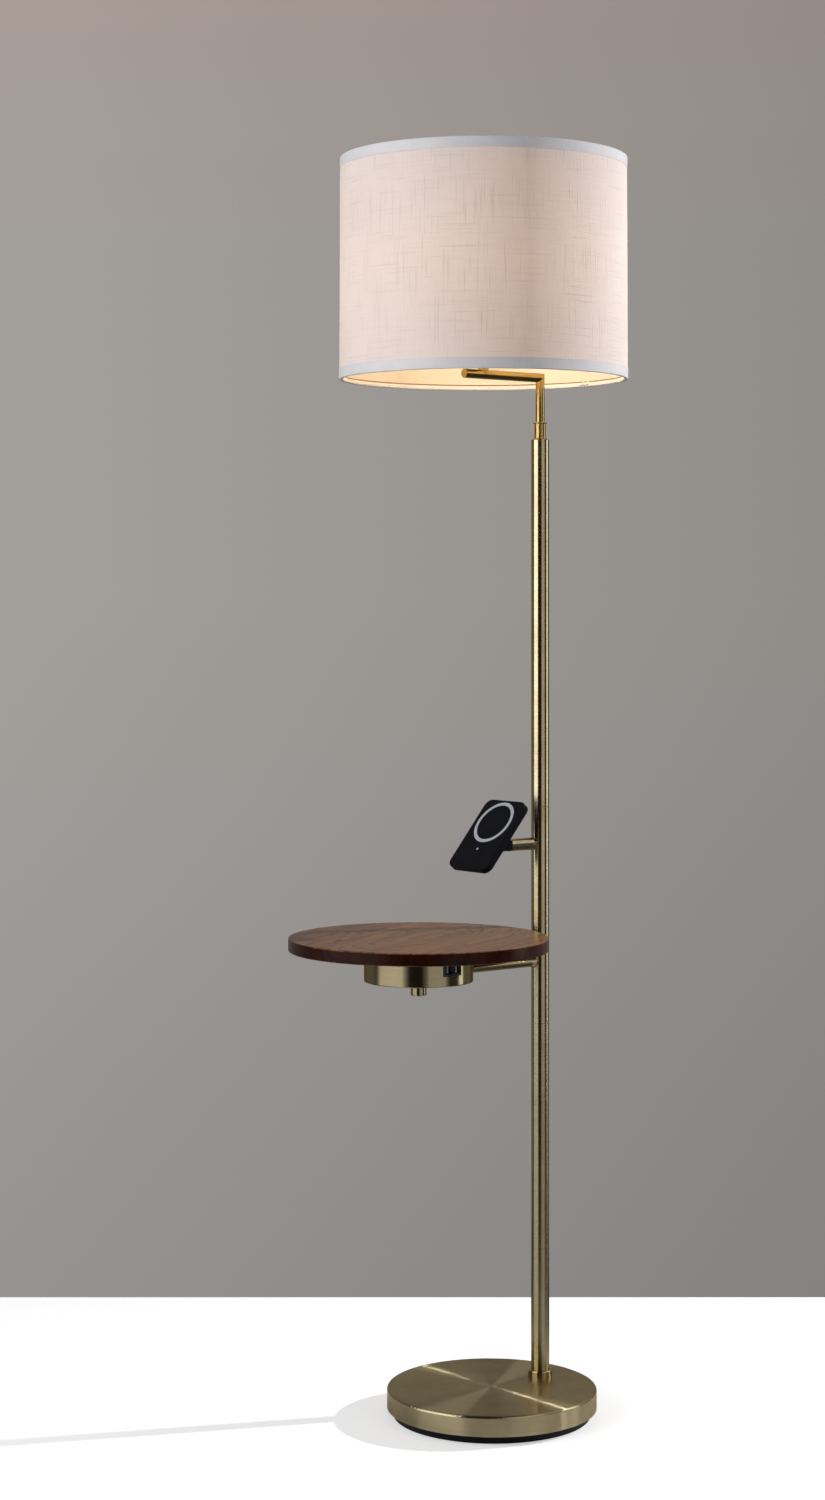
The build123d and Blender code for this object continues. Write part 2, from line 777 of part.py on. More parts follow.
plate_z = housing_top_z - plate_thickness
standoff_height = plate_z - housing_floor_z
with BuildPart(level(tray_y, plate_z)) as mount_plate:
    Cylinder(housing_bore / 2 - pass_gap, plate_thickness, align=SEATED)
    with PolarLocations(tray_screw_circle / 2, tray_screw_count, start_angle=45):
        Cylinder(tray_screw_dia / 2 + slip, 4 * plate_thickness, mode=Mode.SUBTRACT)
    for angle in standoff_angles:
        with PolarLocations(standoff_circle / 2, 1, start_angle=angle):
            Cylinder(standoff_dia / 2, standoff_height, align=HANGING)
            with Locations((0, 0, -standoff_height)):
                Cylinder(
                    housing_screw_dia / 2,
                    housing_screw_length,
                    align=SEATED,
                    mode=Mode.SUBTRACT,
                )

with BuildPart(level(tray_y, plate_z)) as tray_screws:
    with PolarLocations(tray_screw_circle / 2, tray_screw_count, start_angle=45):
        Cylinder(tray_screw_head_dia / 2, tray_screw_head, align=HANGING)
        Cylinder(tray_screw_dia / 2, tray_screw_length, align=SEATED)

with BuildPart(level(tray_y, housing_z)) as housing_screws:
    for angle in standoff_angles:
        with PolarLocations(standoff_circle / 2, 1, start_angle=angle):
            Cylinder(housing_screw_head_dia / 2, housing_screw_head, align=HANGING)
            Cylinder(housing_screw_dia / 2, housing_screw_length, align=SEATED)

# Ports: a block on the canister's floor, with two upright wells and a tongue in each
port_face = housing_dia / 2 + port_proud
port_back = port_face - port_depth
well_pitch = (port_width + well_width) / 3
well_z = housing_z + port_rise + port_height / 2
with BuildPart() as port_block:
    with BuildSketch(level(tray_y, housing_floor_z)):
        with Locations(((port_back + port_face) / 2, 0)):
            Rectangle(port_depth, port_width)
        Circle(housing_bore / 2 - pass_gap, mode=Mode.INTERSECT)
    extrude(amount=housing_z + port_rise + port_height - housing_floor_z)
    with BuildSketch(level(tray_y, housing_z + port_rise)):
        with Locations(((port_back + port_face) / 2, 0)):
            Rectangle(port_depth, port_width)
        Circle(port_face, mode=Mode.INTERSECT)
    extrude(amount=port_height)
    with Locations((port_face - well_depth, tray_y, well_z)):
        with Locations((0, -well_pitch / 2, 0), (0, well_pitch / 2, 0)):
            Box(
                well_depth,
                well_width,
                well_height,
                align=(Align.MIN, Align.CENTER, Align.CENTER),
                mode=Mode.SUBTRACT,
            )

with BuildPart() as port_tongues:
    with Locations((port_face - well_depth, tray_y, well_z)):
        with Locations((0, -well_pitch / 2, 0), (0, well_pitch / 2, 0)):
            Box(
                tongue_length,
                tongue_thickness,
                tongue_height,
                align=(Align.MIN, Align.CENTER, Align.CENTER),
            )

with BuildPart(level(tray_y, housing_floor_z)) as power_supply:
    with Locations((0, supply_offset, 0)):
        Box(supply_width, supply_length, supply_height, align=SEATED)
    chamfer(power_supply.edges().filter_by(Axis.Z), cover_edge)

# Switch: a body on the canister's floor, clamped by a nut, its shaft and knob below
bushing_z = housing_z - bushing_length
with BuildPart(level(tray_y, housing_floor_z)) as switch_body:
    Cylinder(switch_dia / 2, switch_height, align=SEATED)
    Cylinder(bushing_dia / 2, housing_wall + bushing_length, align=HANGING)
    with Locations((0, 0, shaft_in_switch + seat_gap)):
        Cylinder(shaft_dia / 2 + slip, 4 * switch_height, align=HANGING, mode=Mode.SUBTRACT)

with BuildPart() as switch_nut:
    with BuildSketch(level(tray_y, housing_z - switch_nut_height)):
        draw_nut(switch_nut_flats, bushing_dia + 2 * slip)
    extrude(amount=switch_nut_height)

knob_top_z = bushing_z - knob_gap
knob_z = knob_top_z - knob_height
with BuildPart(level(tray_y, knob_z + knob_floor)) as switch_shaft:
    Cylinder(
        shaft_dia / 2, housing_floor_z + shaft_in_switch - knob_z - knob_floor, align=SEATED
    )

with BuildPart(level(tray_y, knob_z)) as switch_knob:
    Cylinder(knob_dia / 2, knob_height, align=SEATED)
    chamfer(switch_knob.edges().filter_by(GeomType.CIRCLE), knob_edge)
    with Locations((0, 0, knob_floor)):
        Cylinder(shaft_dia / 2, knob_height, align=SEATED, mode=Mode.SUBTRACT)

# Lead wires: from the power supply through the arm, then down to the base, up to the
# charger and up to the head
supply_face_y = tray_y + supply_offset + supply_length / 2
lead_routes = (
    (-lead_spacing, [(pole_y, base_nut_z)]),
    (0, [(pole_y, stub_z), (pole_y - swivel_shoulder - swivel_head, stub_z)]),
    (lead_spacing, [(pole_y, stem_bottom_z)]),
)
with BuildPart() as lead_wires:
    for lead_x, branch in lead_routes:
        route = [(supply_face_y, tray_arm_z), (pole_y, tray_arm_z)] + branch
        with BuildLine():
            FilletPolyline(*[(lead_x, y, z) for y, z in route], radius=lead_bend)
        with BuildSketch(Plane((lead_x, supply_face_y, tray_arm_z), z_dir=(0, 1, 0))):
            Circle(lead_dia / 2)
        sweep()

# Charger stub: a boss on the pole, and a sleeve that turns on a shoulder screw
stub_plane = reach_plane(stub_z)
stub_axis = Axis((0, pole_y, stub_z), (0, -1, 0))
stub_section = Plane(origin=(0, pole_y, stub_z), x_dir=(1, 0, 0), z_dir=(0, 0, -1))
screw_hole = swivel_screw_dia / 2 + slip
with BuildPart(stub_plane) as charger_boss:
    with BuildSketch(stub_section):
        Polygon(
            (screw_hole, 0),
            (boss_root_dia / 2, 0),
            (boss_root_dia / 2, pole_dia / 2),
            (stub_dia / 2, pole_dia / 2 + boss_taper),
            (stub_dia / 2, boss_end),
            (screw_hole, boss_end),
            align=None,
        )
    revolve(axis=stub_axis)
    cut_pole()

with BuildPart(stub_plane) as swivel_screw:
    with Locations((0, 0, swivel_screw_start)):
        Cylinder(swivel_screw_dia / 2, swivel_shoulder - swivel_screw_start, align=SEATED)
    with Locations((0, 0, swivel_shoulder)):
        Cylinder(swivel_head_dia / 2, swivel_head, align=SEATED)
    Cylinder(swivel_bore / 2, sleeve_end, align=SEATED, mode=Mode.SUBTRACT)

counterbore = swivel_head_dia / 2 + pass_gap
with BuildPart() as charger_sleeve:
    with BuildSketch(stub_section):
        Polygon(
            (screw_hole, sleeve_start),
            (stub_dia / 2, sleeve_start),
            (stub_dia / 2, sleeve_end),
            (counterbore, sleeve_end),
            (counterbore, swivel_shoulder - seat_gap),
            (screw_hole, swivel_shoulder - seat_gap),
            align=None,
        )
    revolve(axis=stub_axis)

# Neck of the charger: plugged into the sleeve, ending in a fork for the hinge pin
fork_root = hinge_reach - lug_radius - 2 * pass_gap
with BuildPart(stub_plane) as charger_neck:
    with Locations((0, 0, neck_spigot_start)):
        Cylinder(counterbore - slip, sleeve_end - neck_spigot_start, align=SEATED)
    with Locations((0, 0, sleeve_end)):
        Cylinder(neck_flange_dia / 2, neck_flange_end - sleeve_end, align=SEATED)
        Box(fork_width, 2 * lug_radius, hinge_reach - sleeve_end, align=SEATED)
    with Locations((0, 0, hinge_reach)):
        Cylinder(lug_radius, fork_width, rotation=(0, 90, 0))
        Cylinder(hinge_pin_dia / 2, 2 * fork_width, rotation=(0, 90, 0), mode=Mode.SUBTRACT)
    with Locations((0, 0, fork_root)):
        Box(
            lug_width + 2 * pass_gap,
            4 * lug_radius,
            4 * lug_radius,
            align=SEATED,
            mode=Mode.SUBTRACT,
        )

with BuildPart(stub_plane.offset(hinge_reach)) as hinge_pin:
    Cylinder(hinge_pin_dia / 2, fork_width, rotation=(0, 90, 0))

# Charger pad, made on a plane that tilts with it: its origin is on the hinge pin, its
# normal points out of the pad's face and its local y runs up the pad
pad_plane = Plane(
    origin=(0, pole_y - hinge_reach, stub_z),
    x_dir=(1, 0, 0),
    z_dir=(0, -cos(radians(pad_tilt)), sin(radians(pad_tilt))),
)
pad_normal = Axis(pad_plane.origin, pad_plane.z_dir)
pad_back = pad_stand_off - pad_thickness
pad_floor = pad_back + pad_wall
panel_back = pad_stand_off - panel_thickness


def pad_outline(inset):
    """Sketch the pad's rounded outline, drawn in by a margin."""
    RectangleRounded(pad_width - 2 * inset, pad_length - 2 * inset, pad_corner - inset)


with BuildPart(pad_plane) as charger_back:
    with BuildSketch(pad_plane.offset(pad_back)):
        pad_outline(0)
    extrude(amount=pad_thickness)
    fillet(charger_back.faces().sort_by(pad_normal)[0].edges(), pad_edge)
    fillet(charger_back.faces().sort_by(pad_normal)[-1].edges(), pad_edge / 2)
    with BuildSketch(pad_plane.offset(panel_back)):
        pad_outline(pad_wall)
    extrude(amount=panel_thickness, mode=Mode.SUBTRACT)
    with BuildSketch(pad_plane.offset(pad_floor)):
        pad_outline(2 * pad_wall)
    extrude(amount=panel_back - pad_floor, mode=Mode.SUBTRACT)
    Box(lug_width, 2 * lug_radius, pad_floor, align=SEATED)
    with Locations((0, 0, pad_back - hub_height)):
        Cylinder(hub_root_dia / 2, hub_height, align=SEATED)
    Cylinder(lug_radius, lug_width, rotation=(0, 90, 0))
    Cylinder(hinge_pin_dia / 2 + slip, 2 * lug_width, rotation=(0, 90, 0), mode=Mode.SUBTRACT)

with BuildPart() as charger_front:
    with BuildSketch(pad_plane.offset(panel_back)):
        pad_outline(pad_wall + slip)
        with Locations((0, -light_offset)):
            Circle(light_dia / 2, mode=Mode.SUBTRACT)
    extrude(amount=panel_thickness)
    with BuildSketch(pad_plane.offset(pad_stand_off - ring_inlay)):
        with Locations((0, ring_offset)):
            Circle(ring_outer_dia / 2)
            Circle(ring_inner_dia / 2, mode=Mode.SUBTRACT)
    extrude(amount=ring_inlay, mode=Mode.SUBTRACT)

with BuildPart(pad_plane.offset(pad_stand_off - ring_inlay)) as align_ring:
    with Locations((0, ring_offset, 0)):
        add_tube(ring_outer_dia - 2 * slip, ring_inner_dia + 2 * slip, ring_inlay)

with BuildPart(pad_plane.offset(panel_back)) as status_light:
    with Locations((0, -light_offset, 0)):
        Cylinder(light_dia / 2 - slip, panel_thickness, align=SEATED)

with BuildPart(pad_plane.offset(panel_back - magnet_thickness)) as magnet_ring:
    with Locations((0, ring_offset, 0)):
        add_tube(magnet_outer_dia, magnet_inner_dia, magnet_thickness)

with BuildPart(pad_plane.offset(panel_back - coil_thickness)) as charging_coil:
    with Locations((0, ring_offset, 0)):
        add_tube(coil_outer_dia, coil_inner_dia, coil_thickness)

with BuildPart(pad_plane.offset(pad_floor)) as charger_board:
    with Locations((0, -board_offset, 0)):
        Box(board_width, board_length, board_thickness, align=SEATED)

pieces = dict(
    floor_pad=floor_pad,
    base_foot=base_foot,
    pan_screws=pan_screws,
    base_weight=base_weight,
    base_cover=base_cover,
    cord_gland=cord_gland,
    base_nipple=base_nipple,
    base_nut=base_nut,
    foot_collar=foot_collar,
    pole_plug=pole_plug,
    lower_pole=lower_pole,
    mid_pole=mid_pole,
    upper_pole=upper_pole,
    pole_joiners=pole_joiners,
    top_cap=top_cap,
    neck_sleeve=neck_sleeve,
    lamp_arm=lamp_arm,
    stem_collar=stem_collar,
    swivel_retainer=swivel_retainer,
    socket_post=socket_post,
    harp_saddle=harp_saddle,
    socket_cap=socket_cap,
    socket_shell=socket_shell,
    bulb_cap=bulb_cap,
    bulb_glass=bulb_glass,
    harp=harp,
    finial=finial,
    shade_cloth=shade_cloth,
    shade_liner=shade_liner,
    shade_trims=shade_trims,
    bottom_ring=bottom_ring,
    spider_frame=spider_frame,
    tray_arm=tray_arm,
    arm_flange=arm_flange,
    arm_nut=arm_nut,
    tray_housing=tray_housing,
    tray_top=tray_top,
    mount_plate=mount_plate,
    tray_screws=tray_screws,
    housing_screws=housing_screws,
    port_block=port_block,
    port_tongues=port_tongues,
    power_supply=power_supply,
    switch_body=switch_body,
    switch_nut=switch_nut,
    switch_shaft=switch_shaft,
    switch_knob=switch_knob,
    lead_wires=lead_wires,
    charger_boss=charger_boss,
    swivel_screw=swivel_screw,
    charger_sleeve=charger_sleeve,
    charger_neck=charger_neck,
    hinge_pin=hinge_pin,
    charger_back=charger_back,
    charger_front=charger_front,
    align_ring=align_ring,
    status_light=status_light,
    magnet_ring=magnet_ring,
    charging_coil=charging_coil,
    charger_board=charger_board,
)
os.makedirs("parts", exist_ok=True)
for label, piece in pieces.items():
    piece.part.label = label
    export_step(piece.part, f"parts/{label}.step")
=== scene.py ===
import json
from math import cos, pi, radians, sin

import bmesh
import bpy
from bpy.props import FloatProperty, FloatVectorProperty, IntProperty, PointerProperty
from bpy.types import NodeSocket, Operator, Panel, PropertyGroup
from mathutils import Euler, Matrix, Vector

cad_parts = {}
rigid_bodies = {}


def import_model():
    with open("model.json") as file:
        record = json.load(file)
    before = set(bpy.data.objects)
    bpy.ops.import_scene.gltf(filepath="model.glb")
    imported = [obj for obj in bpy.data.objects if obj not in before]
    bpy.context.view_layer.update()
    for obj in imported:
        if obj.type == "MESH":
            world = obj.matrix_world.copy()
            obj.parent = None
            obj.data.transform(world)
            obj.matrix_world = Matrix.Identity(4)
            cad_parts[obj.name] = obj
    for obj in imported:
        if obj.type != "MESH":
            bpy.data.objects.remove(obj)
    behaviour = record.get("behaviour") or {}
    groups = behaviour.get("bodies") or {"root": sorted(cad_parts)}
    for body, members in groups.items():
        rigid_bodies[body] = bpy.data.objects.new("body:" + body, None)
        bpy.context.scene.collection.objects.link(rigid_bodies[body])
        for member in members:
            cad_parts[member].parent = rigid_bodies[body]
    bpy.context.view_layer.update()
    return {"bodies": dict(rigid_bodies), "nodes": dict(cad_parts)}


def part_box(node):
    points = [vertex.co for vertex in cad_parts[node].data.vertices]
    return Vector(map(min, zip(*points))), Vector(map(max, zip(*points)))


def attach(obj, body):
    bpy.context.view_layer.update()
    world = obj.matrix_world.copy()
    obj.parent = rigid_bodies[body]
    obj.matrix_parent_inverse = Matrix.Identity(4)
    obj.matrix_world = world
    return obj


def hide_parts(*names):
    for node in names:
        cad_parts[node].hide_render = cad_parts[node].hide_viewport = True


bl_info = {
    "name": "Floor Lamp with Tray",
    "version": (1, 0, 0),
    "blender": (4, 5, 0),
    "location": "View3D > Sidebar > Lamp",
    "description": "Fabric, finishes and small fittings of a floor lamp with a tray and a phone charger",
    "category": "Object",
}

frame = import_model()

MM = 0.001
SHADE_TAPER = 1 * MM
CLOTH_ROWS = 12
TAPE_HEIGHT = 12.7 * MM
SEAM_ANGLE = pi / 2
SEAM_EDGE = 0.0006
SEAM_SLOPE = 0.008
PAD_SEGMENTS = 180
PAD_EDGE_STEPS = 4
BEAD_SEGMENTS = 64
BEAD_STEPS = 16
HEAD_DIAMETER = 6.4 * MM
HEAD_SIDES = 32
SHANK_DIAMETER = 3.5 * MM
SHANK_SIDES = 24
TONGUE_THICKNESS = 2 * MM
WELL_WIDTH = 11.3 * MM
WELL_HEIGHT = 13.5 * MM
SHELL_GAP = 0.05 * MM
SHELL_INSET = 0.6 * MM

# Weave's pitch in the linen, in radians a metre
THREAD_PITCH = 9500.0
# Gloss of the sharp turning lines that draw the base's streak
LINE_ROUGHNESS = 0.385
LINE_STRETCH = 0.852

WHITE = (1.0, 1.0, 1.0, 1.0)
BLACK = (0.0, 0.0, 0.0, 1.0)
AMBIENT_TINT = (1.0, 0.985, 0.97, 1.0)
BULB_GLOW = (1.0, 0.82, 0.58, 1.0)
BULB_LIGHT = (1.0, 0.7, 0.41)
BULB_LIGHT_RADIUS = 25 * MM

# Sides of the floor where the softbox's and the panel's light is painted for metal to show: turn and
# half-width in degrees, strength
FLOOR_SECTORS = ((-60, 33, 0.5), (35, 25, 0.28))
SECTOR_EDGE = 5
LIFT_NEAR = 1.2
LIFT_FAR = 4.0


def middle(node):
    """Centre of a node's box."""
    low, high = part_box(node)
    return (low + high) / 2


def half_width(node):
    """Half of a node's box along X: the radius of a round piece."""
    low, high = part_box(node)
    return (high.x - low.x) / 2


def number_property(name, description, default, **more):
    """A number that a user would change."""
    return FloatProperty(name=name, description=description, default=default, **more)


def count_property(name, description, default, least):
    """A whole number that a user would change."""
    return IntProperty(name=name, description=description, default=default, min=least)


def length_property(name, description, default):
    """A length in metres."""
    return number_property(name, description, default, unit="LENGTH")


def angle_property(name, description, degrees):
    """An angle, given in degrees."""
    return number_property(name, description, radians(degrees), subtype="ANGLE")


def power_property(name, description, default):
    """A light's power in watts."""
    return number_property(name, description, default, unit="POWER")


def colour_property(name, description, default):
    """A colour that a user would change."""
    return FloatVectorProperty(
        name=name, description=description, default=default, size=3, subtype="COLOR", min=0, max=1
    )


class LampSizes(PropertyGroup):
    """Sizes of the pieces that are made here"""

    lap_width: length_property("Lap Width", "Overlap of the shade's cloth at its back", 12 * MM)
    lap_rise: length_property("Lap Rise", "How far the lapped cloth stands proud", 0.35 * MM)
    cloth_waver: length_property("Cloth Waver", "Unevenness of the stretched cloth", 0.15 * MM)
    tape_thickness: length_property("Tape Thickness", "Binding tape of the shade's rims", 0.4 * MM)
    tape_inside: length_property("Tape Inside", "Height of the tape inside the shade", 7 * MM)
    shade_segments: count_property("Shade Segments", "Divisions around the shade", 240, 24)
    grain_angle: angle_property("Grain Angle", "Turn of the tray's grain from its arm", -25)
    pad_edge: length_property("Pad Edge", "Rounding of the floor pad's edge", 0.5 * MM)
    recess_width: length_property("Recess Width", "Arm width of a screw's cross recess", 0.9 * MM)
    recess_length: length_property("Recess Length", "Span of a screw's cross recess", 3.6 * MM)
    recess_depth: length_property("Recess Depth", "Depth of a screw's cross recess", 1.1 * MM)
    head_taper: number_property("Head Taper", "Outer face of a screw head over its seat", 0.86)
    bead_reach: length_property("Bead Reach", "How far a neck bead stands proud", 1.0 * MM)
    shell_wall: length_property("Shell Wall", "Sheet of a charging port's shell", 0.3 * MM)
    shell_depth: length_property("Shell Depth", "How deep a port's shell goes", 9 * MM)
    contact_width: length_property("Contact Width", "Width of a port's contact strip", 1.1 * MM)
    contact_rise: length_property("Contact Rise", "How far a contact stands proud", 0.12 * MM)
    contact_share: number_property("Contact Share", "Contact's length over the tongue's", 0.8)
    contacts: count_property("Contacts", "Contacts on one face of a tongue", 4, 1)


class LampColours(PropertyGroup):
    """Colours of the lamp's finishes"""

    brass: colour_property("Brass", "Clean antique brass", (0.50, 0.425, 0.265))
    brass_aged: colour_property("Aged Brass", "Darker clouds in the brass", (0.42, 0.35, 0.205))
    brass_dull: colour_property("Dull Brass", "Brass of the canister", (0.40, 0.34, 0.21))
    # Painted light: a warmer copy of the brass for the head and the pole's top, standing in for the
    # lamp's warm light on them
    painted_lamplight_brass: colour_property("Painted Lamplight Brass", "Brass of the head, near the lamp", (0.44, 0.33, 0.13))
    painted_lamplight_brass_aged: colour_property("Aged Gilt", "Darker clouds in the head", (0.37, 0.26, 0.09))
    brass_edge: colour_property("Brass Edge", "Brass seen at a low angle", (0.85, 0.75, 0.6))
    walnut_pale: colour_property("Pale Walnut", "Early wood", (0.31, 0.15, 0.065))
    walnut: colour_property("Walnut", "Body of the wood", (0.22, 0.095, 0.038))
    walnut_dark: colour_property("Dark Walnut", "Late wood and pores", (0.075, 0.028, 0.012))
    walnut_edge: colour_property("Walnut Edge", "Dark band round the tray", (0.024, 0.004, 0.0015))
    linen: colour_property("Linen", "Cloth of the shade", (0.86, 0.83, 0.835))
    linen_slub: colour_property("Slub", "Thick threads of the cloth", (0.54, 0.62, 0.60))
    tape: colour_property("Tape", "Binding of the shade's rims", (0.89, 0.875, 0.91))
    dark_inner_line: colour_property("Dark Inner Line", "Edge of the tape inside", (0.30, 0.20, 0.13))
    liner: colour_property("Liner", "White sheet inside the shade", (0.86, 0.82, 0.74))
    # Painted light: colour of the glow painted on the shade's cloth
    glow: colour_property("Glow", "Lamp light through the shade", (1.0, 0.48, 0.2))
    black: colour_property("Black", "Moulded plastic and painted pan", (0.008, 0.008, 0.012))
    foam: colour_property("Foam", "Closed-cell pad under the base", (0.03, 0.03, 0.032))
    pale: colour_property("Pale Inlay", "Ring on the charger's face", (0.50, 0.54, 0.60))
    steel: colour_property("Steel", "Zinc-plated wire, nuts and screws", (0.55, 0.55, 0.53))
    iron: colour_property("Iron", "Cast weight", (0.09, 0.09, 0.092))
    copper: colour_property("Copper", "Enamelled winding", (0.55, 0.22, 0.10))
    gold: colour_property("Gold", "Plated contacts", (0.78, 0.56, 0.22))
    board: colour_property("Board", "Circuit board", (0.012, 0.09, 0.045))
    bulb: colour_property("Bulb", "Frosted glass", (0.9, 0.87, 0.8))


class StudioSetup(PropertyGroup):
    """Camera, floor and lights"""

    azimuth: angle_property("Azimuth", "Camera's turn round the lamp from its front", 52)
    distance: length_property("Distance", "Camera to the pole, along the view", 3.388)
    side_step: length_property("Side Step", "Camera's place left of the pole", 0.1545)
    eye_height: length_property("Eye Height", "Camera's height above the floor", 0.973)
    lens: number_property("Lens", "Focal length", 67.2, unit="CAMERA")
    horizon_shift: number_property("Horizon Shift", "Lens shift that lifts the horizon", -0.1)
    floor_behind: length_property("Floor Behind", "Floor's back edge behind the pole", 0.519)
    floor_span: length_property("Floor Span", "Floor's width and depth", 24.0)
    floor_colour: colour_property("Floor", "Plain pale floor", (0.82, 0.82, 0.83))
    floor_lift: number_property("Floor Lift", "Light added to the seen floor", 0.47)
    floor_reach: length_property("Floor Reach", "How far the floor shows in metal", 0.5)
    floor_bounce: colour_property("Floor Bounce", "Floor's colour for soft light", (0.2, 0.2, 0.2))
    floor_far: colour_property("Far Floor", "Floor in metal, away from the lamp", (0.03, 0.03, 0.03))
    backdrop: colour_property("Backdrop", "Plain grey behind the lamp", (0.35, 0.332, 0.315))
    backdrop_low: colour_property("Low Backdrop", "Grey near the floor", (0.283, 0.277, 0.272))
    # Painted light: the warm grey above stands in for the lamp's light on the wall
    backdrop_high: colour_property("High Backdrop", "Warm grey above", (0.39, 0.315, 0.285))
    dark_side: colour_property("Dark Side", "Studio behind the camera", (0.02, 0.019, 0.018))
    ambient: number_property("Ambient", "Even light on surfaces", 0.16)
    overhead: colour_property("Overhead", "Reflector above right, seen in metal", (0.6, 0.56, 0.48))
    softbox_power: power_property("Softbox Power", "Large soft light on the left", 34.0)
    panel_power: power_property("Panel Power", "Dim reflector on the right", 7.0)
    key_power: power_property("Key Power", "Small key light on the right", 122.0)
    strip_power: power_property("Strip Power", "Bright strip on the right, seen in metal", 14.0)
    streak_power: power_property("Streak Power", "Back light that draws the base's streak", 0.25)
    streak_spread: angle_property("Streak Spread", "Cone that keeps the streak to the base", 20)
    streak_angle: angle_property("Streak Angle", "Turn of the base's streak from X", 3.5)
    streak_lean: angle_property("Streak Lean", "Slope that sends the streak to the camera", 45)
    streak_distance: length_property("Streak Distance", "Back light to the base", 2.6)
    bulb_power: power_property("Bulb Power", "Lamp's own light", 1.25)


def rgba(colour):
    """A colour with full alpha."""
    return (*colour, 1.0)


def set_inputs(tree, node, values):
    """Set or link a node's inputs by name or number."""
    for key, value in values.items():
        if isinstance(value, NodeSocket):
            tree.links.new(value, node.inputs[key])
        else:
            node.inputs[key].default_value = value


def add(tree, kind, inputs=None, **options):
    """Add a node, set its options, and set or link its inputs."""
    made = tree.nodes.new(kind)
    for name, value in options.items():
        setattr(made, name, value)
    set_inputs(tree, made, inputs or {})
    return made


def node_of(tree, kind):
    """First node of a kind in a tree."""
    return next(node for node in tree.nodes if node.type == kind)


def maths(tree, operation, *values, clamp=False):
    """Output of a Math node."""
    inputs = dict(enumerate(values))
    made = add(tree, "ShaderNodeMath", inputs, operation=operation, use_clamp=clamp)
    return made.outputs[0]


def vector_maths(tree, operation, *values):
    """Outputs of a Vector Math node, Vector and Value."""
    inputs = dict(enumerate(values))
    return add(tree, "ShaderNodeVectorMath", inputs, operation=operation).outputs


def parts_of(tree, vector):
    """X, Y and Z outputs of a vector."""
    return add(tree, "ShaderNodeSeparateXYZ", {0: vector}).outputs


def distance_of(tree, first, second):
    """Distance from an axis, from two sides across it."""
    squares = [maths(tree, "POWER", side, 2.0) for side in (first, second)]
    return maths(tree, "SQRT", maths(tree, "ADD", *squares))


def mix(tree, factor, first, second, mode="MIX"):
    """Colour output of a Mix node."""
    inputs = {0: factor, 6: first, 7: second}
    return add(tree, "ShaderNodeMix", inputs, data_type="RGBA", blend_type=mode).outputs[2]


def tinted(tree, colour, shade):
    """A colour multiplied by a grey."""
    return mix(tree, 1.0, colour, shade, mode="MULTIPLY")


def remap(tree, value, low, high, out_low=0.0, out_high=1.0):
    """Output of a clamped Map Range node."""
    inputs = dict(enumerate((value, low, high, out_low, out_high)))
    return add(tree, "ShaderNodeMapRange", inputs).outputs[0]


def spread(tree, grain, low, high):
    """A noise's usual range spread from low to high."""
    return remap(tree, grain, 0.3, 0.7, low, high)


def scaled(tree, vector, scale, location=(0, 0, 0), rotation=(0, 0, 0)):
    """Coordinates moved, turned and scaled by a Mapping node."""
    inputs = {"Vector": vector, "Location": location, "Rotation": rotation, "Scale": scale}
    return add(tree, "ShaderNodeMapping", inputs).outputs[0]


def noise(tree, vector, scale=1.0, detail=3.0, roughness=0.5):
    """Grey output of a Noise Texture."""
    inputs = {"Vector": vector, "Scale": scale, "Detail": detail, "Roughness": roughness}
    return add(tree, "ShaderNodeTexNoise", inputs).outputs[0]


def drawn_noise(tree, vector, scales, detail=3.0, location=(0, 0, 0)):
    """Noise with a scale for each direction, drawn out along those with a low one."""
    return noise(tree, scaled(tree, vector, scales, location), detail=detail)


def ramp(tree, factor, stops):
    """Colour output of a ramp through (place, colour) stops."""
    made = add(tree, "ShaderNodeValToRGB", {0: factor})
    elements = made.color_ramp.elements
    elements[0].position, elements[0].color = stops[0]
    elements[1].position, elements[1].color = stops[-1]
    for place, colour in stops[1:-1]:
        elements.new(place).color = colour
    return made.outputs[0]


def bump(tree, height, strength, distance):
    """Normal output of a Bump node."""
    inputs = {"Height": height, "Strength": strength, "Distance": distance}
    return add(tree, "ShaderNodeBump", inputs).outputs[0]


def new_material(name):
    """A material, its tree with a Principled shader, and its texture coordinates.

    Its glow, where it has one, is not sampled as a lamp, which keeps the metal free of specks.
    """
    material = bpy.data.materials.new(name)
    material.use_nodes = True
    material.cycles.emission_sampling = "NONE"
    tree = material.node_tree
    tree.nodes.clear()
    shader = add(tree, "ShaderNodeBsdfPrincipled")
    add(tree, "ShaderNodeOutputMaterial", {"Surface": shader.outputs[0]})
    return material, tree, add(tree, "ShaderNodeTexCoord").outputs


def set_shader(tree, values):
    """Set or link inputs of a tree's Principled shader by name."""
    set_inputs(tree, node_of(tree, "BSDF_PRINCIPLED"), values)


def add_mix(tree, share, second):
    """Show a share of a second shader over the Principled one."""
    first = node_of(tree, "BSDF_PRINCIPLED")
    inputs = {0: share, 1: first.outputs[0], 2: second.outputs[0]}
    both = add(tree, "ShaderNodeMixShader", inputs)
    set_inputs(tree, node_of(tree, "OUTPUT_MATERIAL"), {"Surface": both.outputs[0]})


def from_place(tree, outputs, place):
    """Object coordinates counted from a place."""
    return vector_maths(tree, "SUBTRACT", outputs["Object"], tuple(place))["Vector"]


def dress(material, *nodes):
    """Give CAD nodes a material."""
    for node in nodes:
        frame["nodes"][node].material_slots[0].material = material


